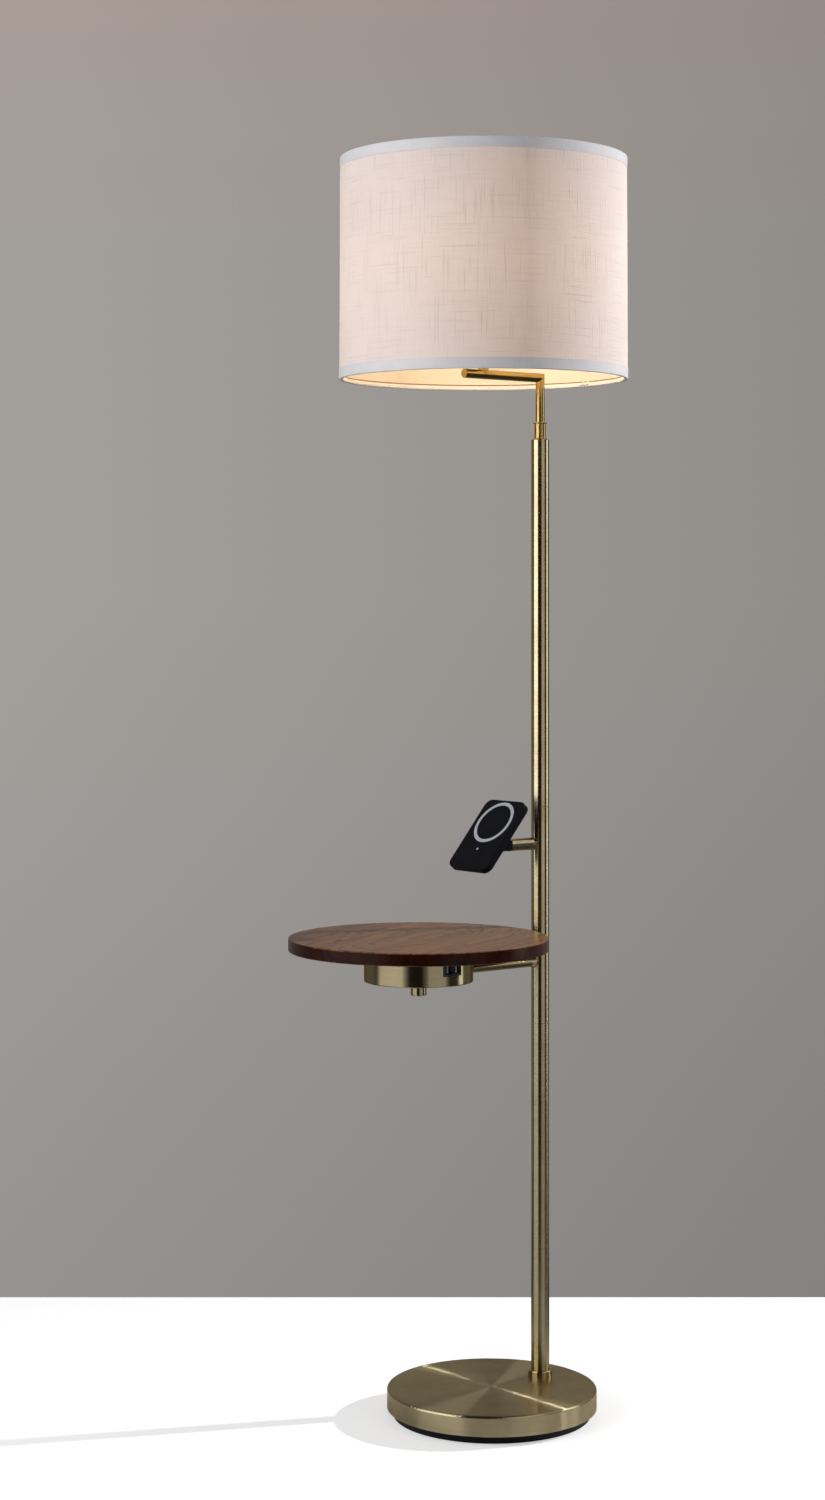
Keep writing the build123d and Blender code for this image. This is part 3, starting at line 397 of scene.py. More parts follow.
def brass_finish(name, tones, centre, axis="Z", roughness=0.2, turned=1.0, streak=0.0):
    """Lacquered antique brass with fine turning lines round an axis.

    tones are the clean, aged and low-angle colours, turned stretches the gloss across the
    lines, and streak is the share of sharp lines, which draw a line of light on a flat face.
    """
    clean, aged, edge = (rgba(tone) for tone in tones)
    material, tree, outputs = new_material(name)
    place = parts_of(tree, from_place(tree, outputs, centre))
    across = [place[part] for part in "XYZ" if part != axis]
    rings = {0: place[axis], 1: distance_of(tree, *across)}
    lines = noise(tree, add(tree, "ShaderNodeCombineXYZ", rings).outputs[0], 420.0)
    clouds = noise(tree, outputs["Object"], 26.0, detail=5.0, roughness=0.62)
    colour = mix(tree, remap(tree, clouds, 0.36, 0.66), clean, aged)
    tangent = add(tree, "ShaderNodeTangent", direction_type="RADIAL", axis=axis).outputs[0]
    set_shader(tree, {
        "Base Color": tinted(tree, colour, spread(tree, lines, 0.94, 1.04)),
        "Metallic": 1.0,
        "Specular Tint": edge,
        "Roughness": remap(tree, clouds, 0.36, 0.66, roughness - 0.01, roughness + 0.02),
        "Anisotropic": turned,
        "Anisotropic Rotation": 0.25,
        "Tangent": tangent,
    })
    if streak:
        gloss = {"Color": clean, "Roughness": LINE_ROUGHNESS, "Anisotropy": LINE_STRETCH}
        sharp = add(tree, "ShaderNodeBsdfAnisotropic", {**gloss, "Tangent": tangent})
        add_mix(tree, streak, sharp)
    return material


def walnut_finish(colours, centre, grain_angle):
    """Flat-sawn walnut under a satin lacquer, with its grain at an angle to Y."""
    material, tree, outputs = new_material("walnut")
    place = from_place(tree, outputs, centre)
    place = scaled(tree, place, (1.0, 1.0, 1.0), rotation=(0, 0, grain_angle))
    sway = drawn_noise(tree, place, (11.0, 4.5, 11.0))
    ripple = drawn_noise(tree, place, (60.0, 12.0, 60.0), detail=2.0)
    fibres = drawn_noise(tree, place, (1500.0, 26.0, 700.0))
    streaks = drawn_noise(tree, place, (95.0, 7.0, 95.0), detail=4.0)
    pores = drawn_noise(tree, place, (1150.0, 75.0, 900.0), detail=1.0)
    parts = parts_of(tree, place)
    side = maths(tree, "ADD", parts["X"], remap(tree, sway, 0.2, 0.8, -0.04, 0.04))
    side = maths(tree, "ADD", side, remap(tree, ripple, 0.2, 0.8, -0.004, 0.004))
    depth = maths(tree, "MULTIPLY_ADD", parts["Y"], 0.3, -0.012)
    depth = maths(tree, "ADD", depth, parts["Z"])
    rings = maths(tree, "FRACT", maths(tree, "MULTIPLY", distance_of(tree, side, depth), 92.0))
    late_wood = maths(tree, "MULTIPLY", maths(tree, "POWER", rings, 3.2), 0.62)
    heart = remap(tree, side, -0.15, -0.02, 0.3, 0.0)
    tone = maths(tree, "ADD", late_wood, remap(tree, streaks, 0.3, 0.72, -0.1, 0.46))
    tone = maths(tree, "ADD", tone, heart)
    tone = maths(tree, "ADD", tone, spread(tree, fibres, -0.07, 0.09), clamp=True)
    tones = (colours.walnut_pale, colours.walnut, colours.walnut_dark)
    pale, body, dark = (rgba(colour) for colour in tones)
    colour = ramp(tree, tone, [(0.0, pale), (0.45, body), (1.0, dark)])
    dark_pores = remap(tree, pores, 0.64, 0.74)
    colour = mix(tree, maths(tree, "MULTIPLY", dark_pores, 0.55), colour, dark)
    edge_tone = maths(tree, "MULTIPLY_ADD", tone, -0.9, 1.4)
    edge = tinted(tree, rgba(colours.walnut_edge), edge_tone)
    facing = maths(tree, "ABSOLUTE", parts_of(tree, outputs["Normal"])["Z"])
    height = maths(tree, "SUBTRACT", fibres, maths(tree, "MULTIPLY", dark_pores, 0.8))
    set_shader(tree, {
        "Base Color": mix(tree, remap(tree, facing, 0.35, 0.8), edge, colour),
        "Roughness": spread(tree, fibres, 0.26, 0.36),
        "Specular IOR Level": 0.12,
        "Normal": bump(tree, height, 0.15, 0.1 * MM),
    })
    return material


def linen_finish(colours, bulb_height):
    """Slubbed plain weave on the piece's UV map, with a painted glow that stands in for the lamp's light
    through the cloth.
    """
    material, tree, outputs = new_material("linen_weave")
    cloth = outputs["UV"]
    weft = drawn_noise(tree, cloth, (13.0, 620.0, 1.0))
    warp = drawn_noise(tree, cloth, (620.0, 15.0, 1.0), location=(3.1, 7.7, 0))
    clouds = drawn_noise(tree, cloth, (14.0, 9.0, 1.0))
    threads = parts_of(tree, scaled(tree, cloth, (THREAD_PITCH, THREAD_PITCH, 1.0)))
    waves = [maths(tree, "SINE", threads[part]) for part in "XY"]
    weave = maths(tree, "MULTIPLY", *waves)
    weft_slub, warp_slub = (remap(tree, thread, 0.56, 0.72) for thread in (weft, warp))
    slubs = maths(tree, "MAXIMUM", maths(tree, "MULTIPLY", weft_slub, 0.8), warp_slub)
    slub_share = maths(tree, "MULTIPLY", slubs, 0.4)
    colour = mix(tree, slub_share, rgba(colours.linen), rgba(colours.linen_slub))
    height = maths(tree, "ADD", slubs, maths(tree, "MULTIPLY", weave, 0.25))
    # Painted light: the cloth's glow is painted as emission, brightest at the bulb's height and dimmer
    # on the slubs.
    from_bulb = maths(tree, "SUBTRACT", parts_of(tree, outputs["Object"])["Z"], bulb_height)
    lit = remap(tree, maths(tree, "ABSOLUTE", from_bulb), 0.0, 0.19, 0.27, 0.14)
    set_shader(tree, {
        "Base Color": tinted(tree, colour, spread(tree, clouds, 0.965, 1.02)),
        "Roughness": 0.85,
        "Specular IOR Level": 0.2,
        "Sheen Weight": 0.08,
        "Sheen Roughness": 0.5,
        "Normal": bump(tree, height, 0.7, 0.3 * MM),
        "Emission Color": rgba(colours.glow),
        "Emission Strength": maths(tree, "MULTIPLY", lit, remap(tree, slubs, 0.0, 1.0, 1.0, 0.5)),
    })
    return material


def tape_finish(colours, inner_edge):
    """Ribbed satin tape on the piece's UV map, with a dark line along its inner edge."""
    material, tree, outputs = new_material("binding_tape")
    ribs = drawn_noise(tree, outputs["UV"], (1600.0, 60.0, 1.0), detail=2.0)
    clouds = drawn_noise(tree, outputs["UV"], (30.0, 120.0, 1.0))
    shades = (spread(tree, clouds, 0.96, 1.03), spread(tree, ribs, 0.97, 1.02))
    colour = tinted(tree, rgba(colours.tape), maths(tree, "MULTIPLY", *shades))
    run = parts_of(tree, outputs["UV"])["Y"]
    dark_inner_line = remap(tree, run, inner_edge - 1.8 * MM, inner_edge - 1.2 * MM)
    set_shader(tree, {
        "Base Color": mix(tree, dark_inner_line, colour, rgba(colours.dark_inner_line)),
        "Roughness": spread(tree, ribs, 0.5, 0.62),
        "Sheen Weight": 0.15,
        "Normal": bump(tree, ribs, 0.35, 0.1 * MM),
    })
    return material


def speckled_finish(name, colour, roughness, grain, depth, variation=0.12, specular_level=0.5):
    """Moulded, cast or foamed surface: a mottled colour with a fine raised grain."""
    material, tree, outputs = new_material(name)
    fine = noise(tree, outputs["Object"], grain)
    clouds = noise(tree, outputs["Object"], 60.0, detail=4.0)
    shade = spread(tree, clouds, 1 - variation, 1 + variation)
    set_shader(tree, {
        "Base Color": tinted(tree, rgba(colour), shade),
        "Roughness": spread(tree, fine, roughness - 0.05, roughness + 0.07),
        "Specular IOR Level": specular_level,
        "Normal": bump(tree, fine, 0.3, depth),
    })
    return material


def metal_finish(name, colour, roughness, stretch=(1.0, 1.0, 1.0)):
    """Plain plated or drawn metal with scratches along its stretched direction."""
    material, tree, outputs = new_material(name)
    scratches = noise(tree, scaled(tree, outputs["Object"], stretch), 900.0)
    stains = noise(tree, outputs["Object"], 70.0, detail=4.0)
    set_shader(tree, {
        "Base Color": tinted(tree, rgba(colour), spread(tree, stains, 0.85, 1.08)),
        "Metallic": 1.0,
        "Roughness": spread(tree, scratches, roughness - 0.06, roughness + 0.08),
        "Normal": bump(tree, scratches, 0.15, 0.05 * MM),
    })
    return material


def bulb_finish(colours, centre):
    """Frosted glass, lit from within and brightest round its middle."""
    material, tree, outputs = new_material("lit_glass")
    frost = noise(tree, outputs["Object"], 1400.0, detail=2.0)
    away = vector_maths(tree, "DISTANCE", outputs["Object"], tuple(centre))["Value"]
    set_shader(tree, {
        "Base Color": rgba(colours.bulb),
        "Roughness": spread(tree, frost, 0.4, 0.6),
        "Normal": bump(tree, frost, 0.1, 0.05 * MM),
        "Emission Color": BULB_GLOW,
        "Emission Strength": remap(tree, away, 0.02, 0.05, 3.0, 1.2),
    })
    return material


def new_piece(name, mesh, body, material=None):
    """An object at the origin that rides on a body, with a finish if one is given."""
    piece = bpy.data.objects.new(name, mesh)
    bpy.context.scene.collection.objects.link(piece)
    if material:
        mesh.materials.clear()
        mesh.materials.append(material)
    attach(piece, body)
    return piece


def shaded(mesh, sharp=35):
    """Smooth shading with edges sharper than an angle in degrees kept crisp."""
    for face in mesh.polygons:
        face.use_smooth = True
    mesh.set_sharp_from_angle(angle=radians(sharp))
    return mesh


def skin(shape, rings, closed=True):
    """Faces from ring to ring all round, each with its ring's and its step's number."""
    count = len(rings[0])
    faces = []
    for index, ring in enumerate(rings):
        after = rings[(index + 1) % len(rings)]
        for step in range(count if closed else count - 1):
            far = (step + 1) % count
            face = shape.faces.new((ring[step], after[step], after[far], ring[far]))
            faces.append((face, index, step))
    return faces


def finished_mesh(shape, name):
    """Mesh of a shape, with its faces pointing outwards."""
    bmesh.ops.recalc_face_normals(shape, faces=shape.faces)
    mesh = bpy.data.meshes.new(name)
    shape.to_mesh(mesh)
    shape.free()
    return mesh


def even_turns(count):
    """Angles of even steps round a circle."""
    return [2 * pi * step / count for step in range(count)]


def turned_mesh(name, outline, axis, turns, swell=lambda turn, height: 0.0):
    """Closed ring: an outline of (radius, height) points turned round an upright axis.

    turns are angles from the start, swell gives a point's extra radius from its turn and
    height, and the UV map holds metres round the ring and along the outline.
    """
    shape = bmesh.new()
    uv = shape.loops.layers.uv.new("UVMap")
    runs = [0.0]
    for here, there in zip(outline, outline[1:] + outline[:1]):
        runs.append(runs[-1] + (Vector(there) - Vector(here)).length)
    girth = max(radius for radius, _ in outline)
    rings = []
    for turn in turns:
        angle = turn + SEAM_ANGLE
        ring = []
        for radius, height in outline:
            reach = radius + swell(turn, height)
            place = (axis.x + reach * cos(angle), axis.y + reach * sin(angle), height)
            ring.append(shape.verts.new(place))
        rings.append(ring)
    ends = [*turns[1:], turns[0] + 2 * pi]
    for face, index, step in skin(shape, rings):
        start, end = turns[index], ends[index]
        corners = ((start, step), (end, step), (end, step + 1), (start, step + 1))
        for loop, (turn, place) in zip(face.loops, corners):
            loop[uv].uv = (turn * girth, runs[place])
    return shaded(finished_mesh(shape, name))


def seam_turns(segments, lap_angle):
    """Angles round a sewn ring, with extra ones at the two edges of its lap."""
    edges = {lap_angle, lap_angle + SEAM_SLOPE, 2 * pi - SEAM_EDGE}
    return sorted(edges.union(even_turns(segments)))


def lap_swell(lap_angle, rise):
    """Extra radius of a lapped seam: a step up at the start and a slope down at the end."""

    def swell(turn, height):
        if turn <= lap_angle:
            return rise
        if turn < lap_angle + SEAM_SLOPE:
            return rise * (1 - (turn - lap_angle) / SEAM_SLOPE)
        return 0.0

    return swell


def ribbon_outline(path, thickness):
    """Closed outline of a strip of even thickness to the left of a path of points."""
    points = [Vector(point) for point in path]
    offsets = []
    for index, point in enumerate(points):
        before = points[max(index - 1, 0)]
        after = points[min(index + 1, len(points) - 1)]
        along = (after - before).normalized()
        offsets.append(point + Vector((-along.y, along.x)) * thickness)
    return [tuple(point) for point in points + offsets[::-1]]


class LAMP_OT_shade_cloth(Operator):
    """Stretch the linen round the shade, lapped at its back"""

    bl_idname = "lamp.shade_cloth"
    bl_label = "Shade Cloth"

    def execute(self, context):
        sizes, colours = context.scene.lamp_sizes, context.scene.lamp_colours
        low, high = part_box("shade_cloth")
        low_radius = half_width("shade_cloth")
        wall = low_radius - half_width("shade_liner")
        outer = []
        for row in range(CLOTH_ROWS + 1):
            share = row / CLOTH_ROWS
            outer.append((low_radius - SHADE_TAPER * share, low.z + (high.z - low.z) * share))
        inner = [(radius - wall, height) for radius, height in reversed(outer)]
        lap_angle = sizes.lap_width / low_radius
        lap = lap_swell(lap_angle, sizes.lap_rise)

        def swell(turn, height):
            waver = sin(3 * turn + 9 * height) * sin(14 * height + 1.3 * sin(2 * turn))
            return lap(turn, height) + sizes.cloth_waver * waver

        turns = seam_turns(sizes.shade_segments, lap_angle)
        mesh = turned_mesh("shade_linen", outer + inner, middle("shade_cloth"), turns, swell)
        finish = linen_finish(colours, middle("bulb_glass").z)
        piece = new_piece("shade_linen", mesh, "shade", finish)
        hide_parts("shade_cloth")
        return {"FINISHED"}


class LAMP_OT_shade_tapes(Operator):
    """Bind the shade's two rims with folded tape"""

    bl_idname = "lamp.shade_tapes"
    bl_label = "Shade Tapes"

    def execute(self, context):
        sizes, colours = context.scene.lamp_sizes, context.scene.lamp_colours
        low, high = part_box("shade_trims")
        ring_low, ring_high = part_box("bottom_ring")
        cloth_radius = half_width("shade_cloth")
        cloth_wall = cloth_radius - half_width("shade_liner")
        wire = ring_high.z - ring_low.z
        tape = sizes.tape_thickness
        finish = None
        ends = (("shade_tape_bottom", low.z, 1, 0.0), ("shade_tape_top", high.z, -1, SHADE_TAPER))
        for name, edge, up, taper in ends:
            cloth = cloth_radius - taper
            liner = cloth - 2 * cloth_wall
            wire_in = liner - wire - tape
            liner_in = liner - 0.1 * MM - tape
            profile = (
                (cloth + tape, TAPE_HEIGHT),
                (cloth + tape, 0.6 * MM),
                (cloth - 0.2 * MM, 0.0),
                (wire_in + 0.9 * MM, 0.0),
                (wire_in, 0.9 * MM),
                (wire_in, wire - 0.4 * MM),
                (wire_in + 0.8 * MM, wire + 0.9 * MM),
                (liner - 0.8 * MM, wire + 1.6 * MM),
                (liner_in, wire + 2.6 * MM),
                (liner_in, sizes.tape_inside),
            )
            path = [(radius, edge + up * height) for radius, height in profile]
            steps = zip(path, path[1:])
            reach = sum((Vector(there) - Vector(here)).length for here, there in steps)
            finish = finish or tape_finish(colours, reach)
            lap_angle = 1.3 * sizes.lap_width / cloth
            turns = seam_turns(sizes.shade_segments, lap_angle)
            outline = ribbon_outline(path, -up * tape)
            lap = lap_swell(lap_angle, 0.6 * tape)
            mesh = turned_mesh(name, outline, middle("shade_trims"), turns, lap)
            piece = new_piece(name, mesh, "shade", finish)
            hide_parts("shade_trims")
        return {"FINISHED"}


class LAMP_OT_floor_pad(Operator):
    """Lay the soft pad under the base"""

    bl_idname = "lamp.floor_pad"
    bl_label = "Floor Pad"

    def execute(self, context):
        sizes, colours = context.scene.lamp_sizes, context.scene.lamp_colours
        low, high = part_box("floor_pad")
        radius = half_width("floor_pad")
        edge = sizes.pad_edge
        outline = []
        for step in range(PAD_EDGE_STEPS + 1):
            turn = pi / 2 * step / PAD_EDGE_STEPS
            outline.append((radius - edge + edge * sin(turn), low.z + edge - edge * cos(turn)))
        outline.append((radius, high.z))
        shape = bmesh.new()
        rings = []
        for turn in even_turns(PAD_SEGMENTS):
            places = [(reach * cos(turn), reach * sin(turn), height) for reach, height in outline]
            rings.append([shape.verts.new(place) for place in places])
        skin(shape, rings, closed=False)
        shape.faces.new([ring[0] for ring in reversed(rings)])
        shape.faces.new([ring[-1] for ring in rings])
        mesh = shaded(finished_mesh(shape, "foam_pad"), 50)
        finish = speckled_finish("foam", colours.foam, 0.85, grain=900.0, depth=0.3 * MM)
        piece = new_piece("foam_pad", mesh, "stand", finish)
        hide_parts("floor_pad")
        return {"FINISHED"}


def box_shape(tree, *sides):
    """Geometry of a box with three sides."""
    size = add(tree, "ShaderNodeCombineXYZ", dict(enumerate(sides)))
    return add(tree, "GeometryNodeMeshCube", {"Size": size.outputs[0]}).outputs[0]


def cone_shape(tree, sides, top, bottom, depth):
    """Geometry of a cone or cylinder that stands on its bottom."""
    inputs = {"Vertices": sides, "Radius Top": top, "Radius Bottom": bottom, "Depth": depth}
    return add(tree, "GeometryNodeMeshCone", inputs).outputs[0]


def grown_mesh(name, points, values, material, shape):
    """Mesh that a Geometry Nodes tree grows on points: a shape on each, realised and painted.

    values are the tree's named inputs, and shape adds its own nodes and returns their geometry.
    """
    tree = bpy.data.node_groups.new(name, "GeometryNodeTree")
    for side in ("INPUT", "OUTPUT"):
        tree.interface.new_socket("Geometry", in_out=side, socket_type="NodeSocketGeometry")
    for label in values:
        tree.interface.new_socket(label, in_out="INPUT", socket_type="NodeSocketFloat")
    start = add(tree, "NodeGroupInput").outputs
    inputs = {"Points": start["Geometry"], "Instance": shape(tree, start)}
    placed = add(tree, "GeometryNodeInstanceOnPoints", inputs)
    real = add(tree, "GeometryNodeRealizeInstances", {0: placed.outputs[0]})
    painted = add(tree, "GeometryNodeSetMaterial", {0: real.outputs[0], "Material": material})
    add(tree, "NodeGroupOutput", {0: painted.outputs[0]})
    seed_mesh = bpy.data.meshes.new(name + "_points")
    seed_mesh.from_pydata(points, [], [])
    seed = bpy.data.objects.new(name + "_points", seed_mesh)
    bpy.context.scene.collection.objects.link(seed)
    modifier = seed.modifiers.new("grow", "NODES")
    modifier.node_group = tree
    for item in tree.interface.items_tree:
        if item.name in values:
            modifier[item.identifier] = values[item.name]
    depsgraph = bpy.context.evaluated_depsgraph_get()
    mesh = bpy.data.meshes.new_from_object(seed.evaluated_get(depsgraph))
    mesh.name = name
    if not mesh.polygons:
        raise RuntimeError(f"{name}: the node tree gave no faces")
    seed.modifiers.clear()
    bpy.data.objects.remove(seed)
    return mesh


def screw_shape(tree, sizes):
    """Nodes of a screw: a tapered head with a cross cut in its face, and a plain shank."""
    down = maths(tree, "SUBTRACT", 0.0, sizes["Head Height"])
    drop = add(tree, "ShaderNodeCombineXYZ", {2: down}).outputs[0]

    def lowered(geometry):
        return add(tree, "GeometryNodeTransform", {0: geometry, "Translation": drop}).outputs[0]

    seat, face, rise = (sizes[label] for label in ("Seat Radius", "Face Radius", "Head Height"))
    head = lowered(cone_shape(tree, HEAD_SIDES, seat, face, rise))
    cut = add(tree, "GeometryNodeMeshBoolean", {0: head}, operation="DIFFERENCE")
    depth = maths(tree, "MULTIPLY", sizes["Recess Depth"], 2.0)
    length, width = sizes["Recess Length"], sizes["Recess Width"]
    for sides in ((length, width, depth), (width, length, depth)):
        tree.links.new(lowered(box_shape(tree, *sides)), cut.inputs["Mesh 2"])
    radius = sizes["Shank Radius"]
    shank = cone_shape(tree, SHANK_SIDES, radius, radius, sizes["Shank Length"])
    whole = add(tree, "GeometryNodeJoinGeometry", {0: cut.outputs[0]})
    tree.links.new(shank, whole.inputs[0])
    return whole.outputs[0]


class LAMP_OT_canister_screws(Operator):
    """Set cross-recess screws in the canister's floor"""

    bl_idname = "lamp.canister_screws"
    bl_label = "Canister Screws"

    def execute(self, context):
        sizes, colours = context.scene.lamp_sizes, context.scene.lamp_colours
        low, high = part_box("housing_screws")
        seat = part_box("tray_housing")[0].z
        half = HEAD_DIAMETER / 2
        left, right = low.x + half, high.x - half
        front, back = low.y + half, high.y - half
        points = [(left, back, seat), (left, front, seat), (right, front, seat)]
        values = {
            "Seat Radius": half,
            "Face Radius": half * sizes.head_taper,
            "Head Height": seat - low.z,
            "Recess Width": sizes.recess_width,
            "Recess Length": sizes.recess_length,
            "Recess Depth": sizes.recess_depth,
            "Shank Radius": SHANK_DIAMETER / 2,
            "Shank Length": high.z - seat,
        }
        finish = metal_finish("screw_steel", colours.steel, 0.3)
        mesh = grown_mesh("canister_screws", points, values, finish, screw_shape)
        piece = new_piece("canister_screws", shaded(mesh), "stand")
        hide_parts("housing_screws")
        return {"FINISHED"}


def contact_shape(tree, sizes):
    """Nodes of a contact strip."""
    return box_shape(tree, *(sizes[label] for label in ("Length", "Rise", "Width")))


class LAMP_OT_port_contacts(Operator):
    """Line the charging ports with metal shells and plate their contacts"""

    bl_idname = "lamp.port_contacts"
    bl_label = "Port Shells and Contacts"

    def execute(self, context):
        sizes, colours = context.scene.lamp_sizes, context.scene.lamp_colours
        low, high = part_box("port_tongues")
        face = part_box("port_block")[1].x
        wells = [low.y + TONGUE_THICKNESS / 2, high.y - TONGUE_THICKNESS / 2]
        self.add_contacts(sizes, colours, low, high, wells)
        self.add_shells(sizes, colours, face, (low.z + high.z) / 2, wells)
        return {"FINISHED"}

    def add_contacts(self, sizes, colours, low, high, wells):
        """Gold strips on both faces of each tongue."""
        length = (high.x - low.x) * sizes.contact_share
        pitch = (high.z - low.z) / sizes.contacts
        points = []
        for well in wells:
            for side in (well - TONGUE_THICKNESS / 2, well + TONGUE_THICKNESS / 2):
                for index in range(sizes.contacts):
                    points.append((high.x - length / 2, side, low.z + pitch * (index + 0.5)))
        finish = metal_finish("gold_plate", colours.gold, 0.22, (0.1, 1.0, 1.0))
        values = {"Length": length, "Rise": 2 * sizes.contact_rise, "Width": sizes.contact_width}
        mesh = grown_mesh("port_contacts", points, values, finish, contact_shape)
        new_piece("port_contacts", mesh, "stand")

    def add_shells(self, sizes, colours, face, height, wells):
        """A bright sheet-metal sleeve against the walls of each well."""
        shape = bmesh.new()
        mouth = face - SHELL_INSET
        end = mouth - sizes.shell_depth
        wall = sizes.shell_wall
        for well in wells:
            rings = []
            for depth, inwards in ((mouth, 0), (mouth, wall), (end, wall), (end, 0)):
                half_y = WELL_WIDTH / 2 - SHELL_GAP - inwards
                half_z = WELL_HEIGHT / 2 - SHELL_GAP - inwards
                corners = ((-half_y, -half_z), (half_y, -half_z), (half_y, half_z), (-half_y, half_z))
                rings.append([shape.verts.new((depth, well + y, height + z)) for y, z in corners])
            skin(shape, rings)
        finish = metal_finish("port_steel", colours.steel, 0.28, (0.1, 1.0, 1.0))
        new_piece("port_shells", finished_mesh(shape, "port_shells"), "stand", finish)


class LAMP_OT_brass(Operator):
    """Finish the base, pole, arms, canister and knob in antique brass"""

    bl_idname = "lamp.brass"
    bl_label = "Brass Finish"

    def execute(self, context):
        colours = context.scene.lamp_colours
        plain = (colours.brass, colours.brass_aged, colours.brass_edge)
        # Painted light: the head's brass is a warmer copy, standing in for the lamp's warm light on it
        painted_lamplight_tones = (colours.painted_lamplight_brass, colours.painted_lamplight_brass_aged, colours.brass_edge)
        dull = (colours.brass_dull, colours.brass_aged, colours.brass_dull)
        # Painted light: the stub's brass starts from the low-angle colour, a lighter copy standing in
        # for highlights it lacks
        bright = (colours.brass_edge, colours.brass, colours.brass_edge)
        pole_nodes = ("lower_pole", "mid_pole", "upper_pole", "foot_collar")
        along_y = {"axis": "Y"}
        finishes = (
            ("base_brass", plain, "base_cover", {"streak": 0.16}, ("base_cover",)),
            ("pole_brass", plain, "lower_pole", {"roughness": 0.17}, pole_nodes),
            ("neck_brass", painted_lamplight_tones, "upper_pole", {}, ("top_cap", "neck_sleeve", "stem_collar")),
            ("canister_brass", dull, "tray_housing", {"turned": 0.8}, ("tray_housing", "switch_knob")),
            ("tray_arm_brass", plain, "tray_arm", {**along_y, "roughness": 0.24, "turned": 0.5},
             ("tray_arm", "arm_flange")),
            ("stub_brass", bright, "charger_sleeve", {**along_y, "turned": 0.2},
             ("charger_boss", "charger_sleeve")),
            ("lamp_arm_brass", painted_lamplight_tones, "lamp_arm", {**along_y, "roughness": 0.17, "turned": 0.0},
             ("lamp_arm",)),
            ("socket_brass", painted_lamplight_tones, "socket_post", {}, ("socket_post", "socket_cap", "finial")),
        )
        for name, tones, centre, options, nodes in finishes:
            dress(brass_finish(name, tones, middle(centre), **options), *nodes)
        return {"FINISHED"}


class LAMP_OT_neck_beads(Operator):
    """Roll the rounded beads at the two ends of the neck"""

    bl_idname = "lamp.neck_beads"
    bl_label = "Neck Beads"

    def execute(self, context):
        sizes = context.scene.lamp_sizes
        low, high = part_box("stem_collar")
        radius = half_width("stem_collar")
        half = (high.z - low.z) / 2
        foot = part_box("neck_sleeve")[0].z
        turns = even_turns(BEAD_SEGMENTS)
        for name, body, height in (("neck_bead", "stand", foot), ("collar_bead", "head", low.z)):
            outline = []
            for turn in even_turns(BEAD_STEPS):
                reach = radius + sizes.bead_reach * cos(turn)
                outline.append((reach, height + half + half * sin(turn)))
            mesh = turned_mesh(name, outline, middle("stem_collar"), turns)
            new_piece(name, mesh, body, bpy.data.materials["neck_brass"])
        return {"FINISHED"}


class LAMP_OT_tray(Operator):
    """Veneer and lacquer the tray"""

    bl_idname = "lamp.tray"
    bl_label = "Walnut Tray"

    def execute(self, context):
        sizes, colours = context.scene.lamp_sizes, context.scene.lamp_colours
        dress(walnut_finish(colours, middle("tray_top"), sizes.grain_angle), "tray_top")
        return {"FINISHED"}


class LAMP_OT_charger(Operator):
    """Finish the charger, its inlays and what is sealed in it"""

    bl_idname = "lamp.charger"
    bl_label = "Charger Finish"

    def execute(self, context):
        colours = context.scene.lamp_colours
        black = speckled_finish(
            "charger_black", colours.black, 0.5, grain=2600.0, depth=0.05 * MM, specular_level=0.06
        )
        pale = speckled_finish(
            "pale_inlay", colours.pale, 0.4, grain=1500.0, depth=0.03 * MM, variation=0.03
        )
        board = speckled_finish("circuit_board", colours.board, 0.4, grain=700.0, depth=0.05 * MM)
        dress(black, "charger_back", "charger_front", "charger_neck")
        dress(pale, "align_ring", "status_light")
        dress(metal_finish("nickel", colours.steel, 0.15), "magnet_ring")
        dress(metal_finish("winding", colours.copper, 0.35), "charging_coil")
        dress(board, "charger_board")
        return {"FINISHED"}


class LAMP_OT_shade_inside(Operator):
    """Finish the liner, bulb, socket and wire frame inside the shade"""

    bl_idname = "lamp.shade_inside"
    bl_label = "Inside of the Shade"

    def execute(self, context):
        colours = context.scene.lamp_colours
        liner = speckled_finish(
            "white_liner", colours.liner, 0.5, grain=240.0, depth=0.08 * MM, variation=0.03
        )
        wire = metal_finish("drawn_wire", colours.steel, 0.3)
        black = speckled_finish("socket_black", colours.black, 0.5, grain=1500.0, depth=0.08 * MM)
        dress(liner, "shade_liner")
        dress(bulb_finish(colours, middle("bulb_glass")), "bulb_glass")
        frame["nodes"]["bulb_glass"].visible_shadow = False
        dress(wire, "harp", "harp_saddle", "spider_frame", "bottom_ring", "bulb_cap")
        dress(black, "socket_shell")
        return {"FINISHED"}


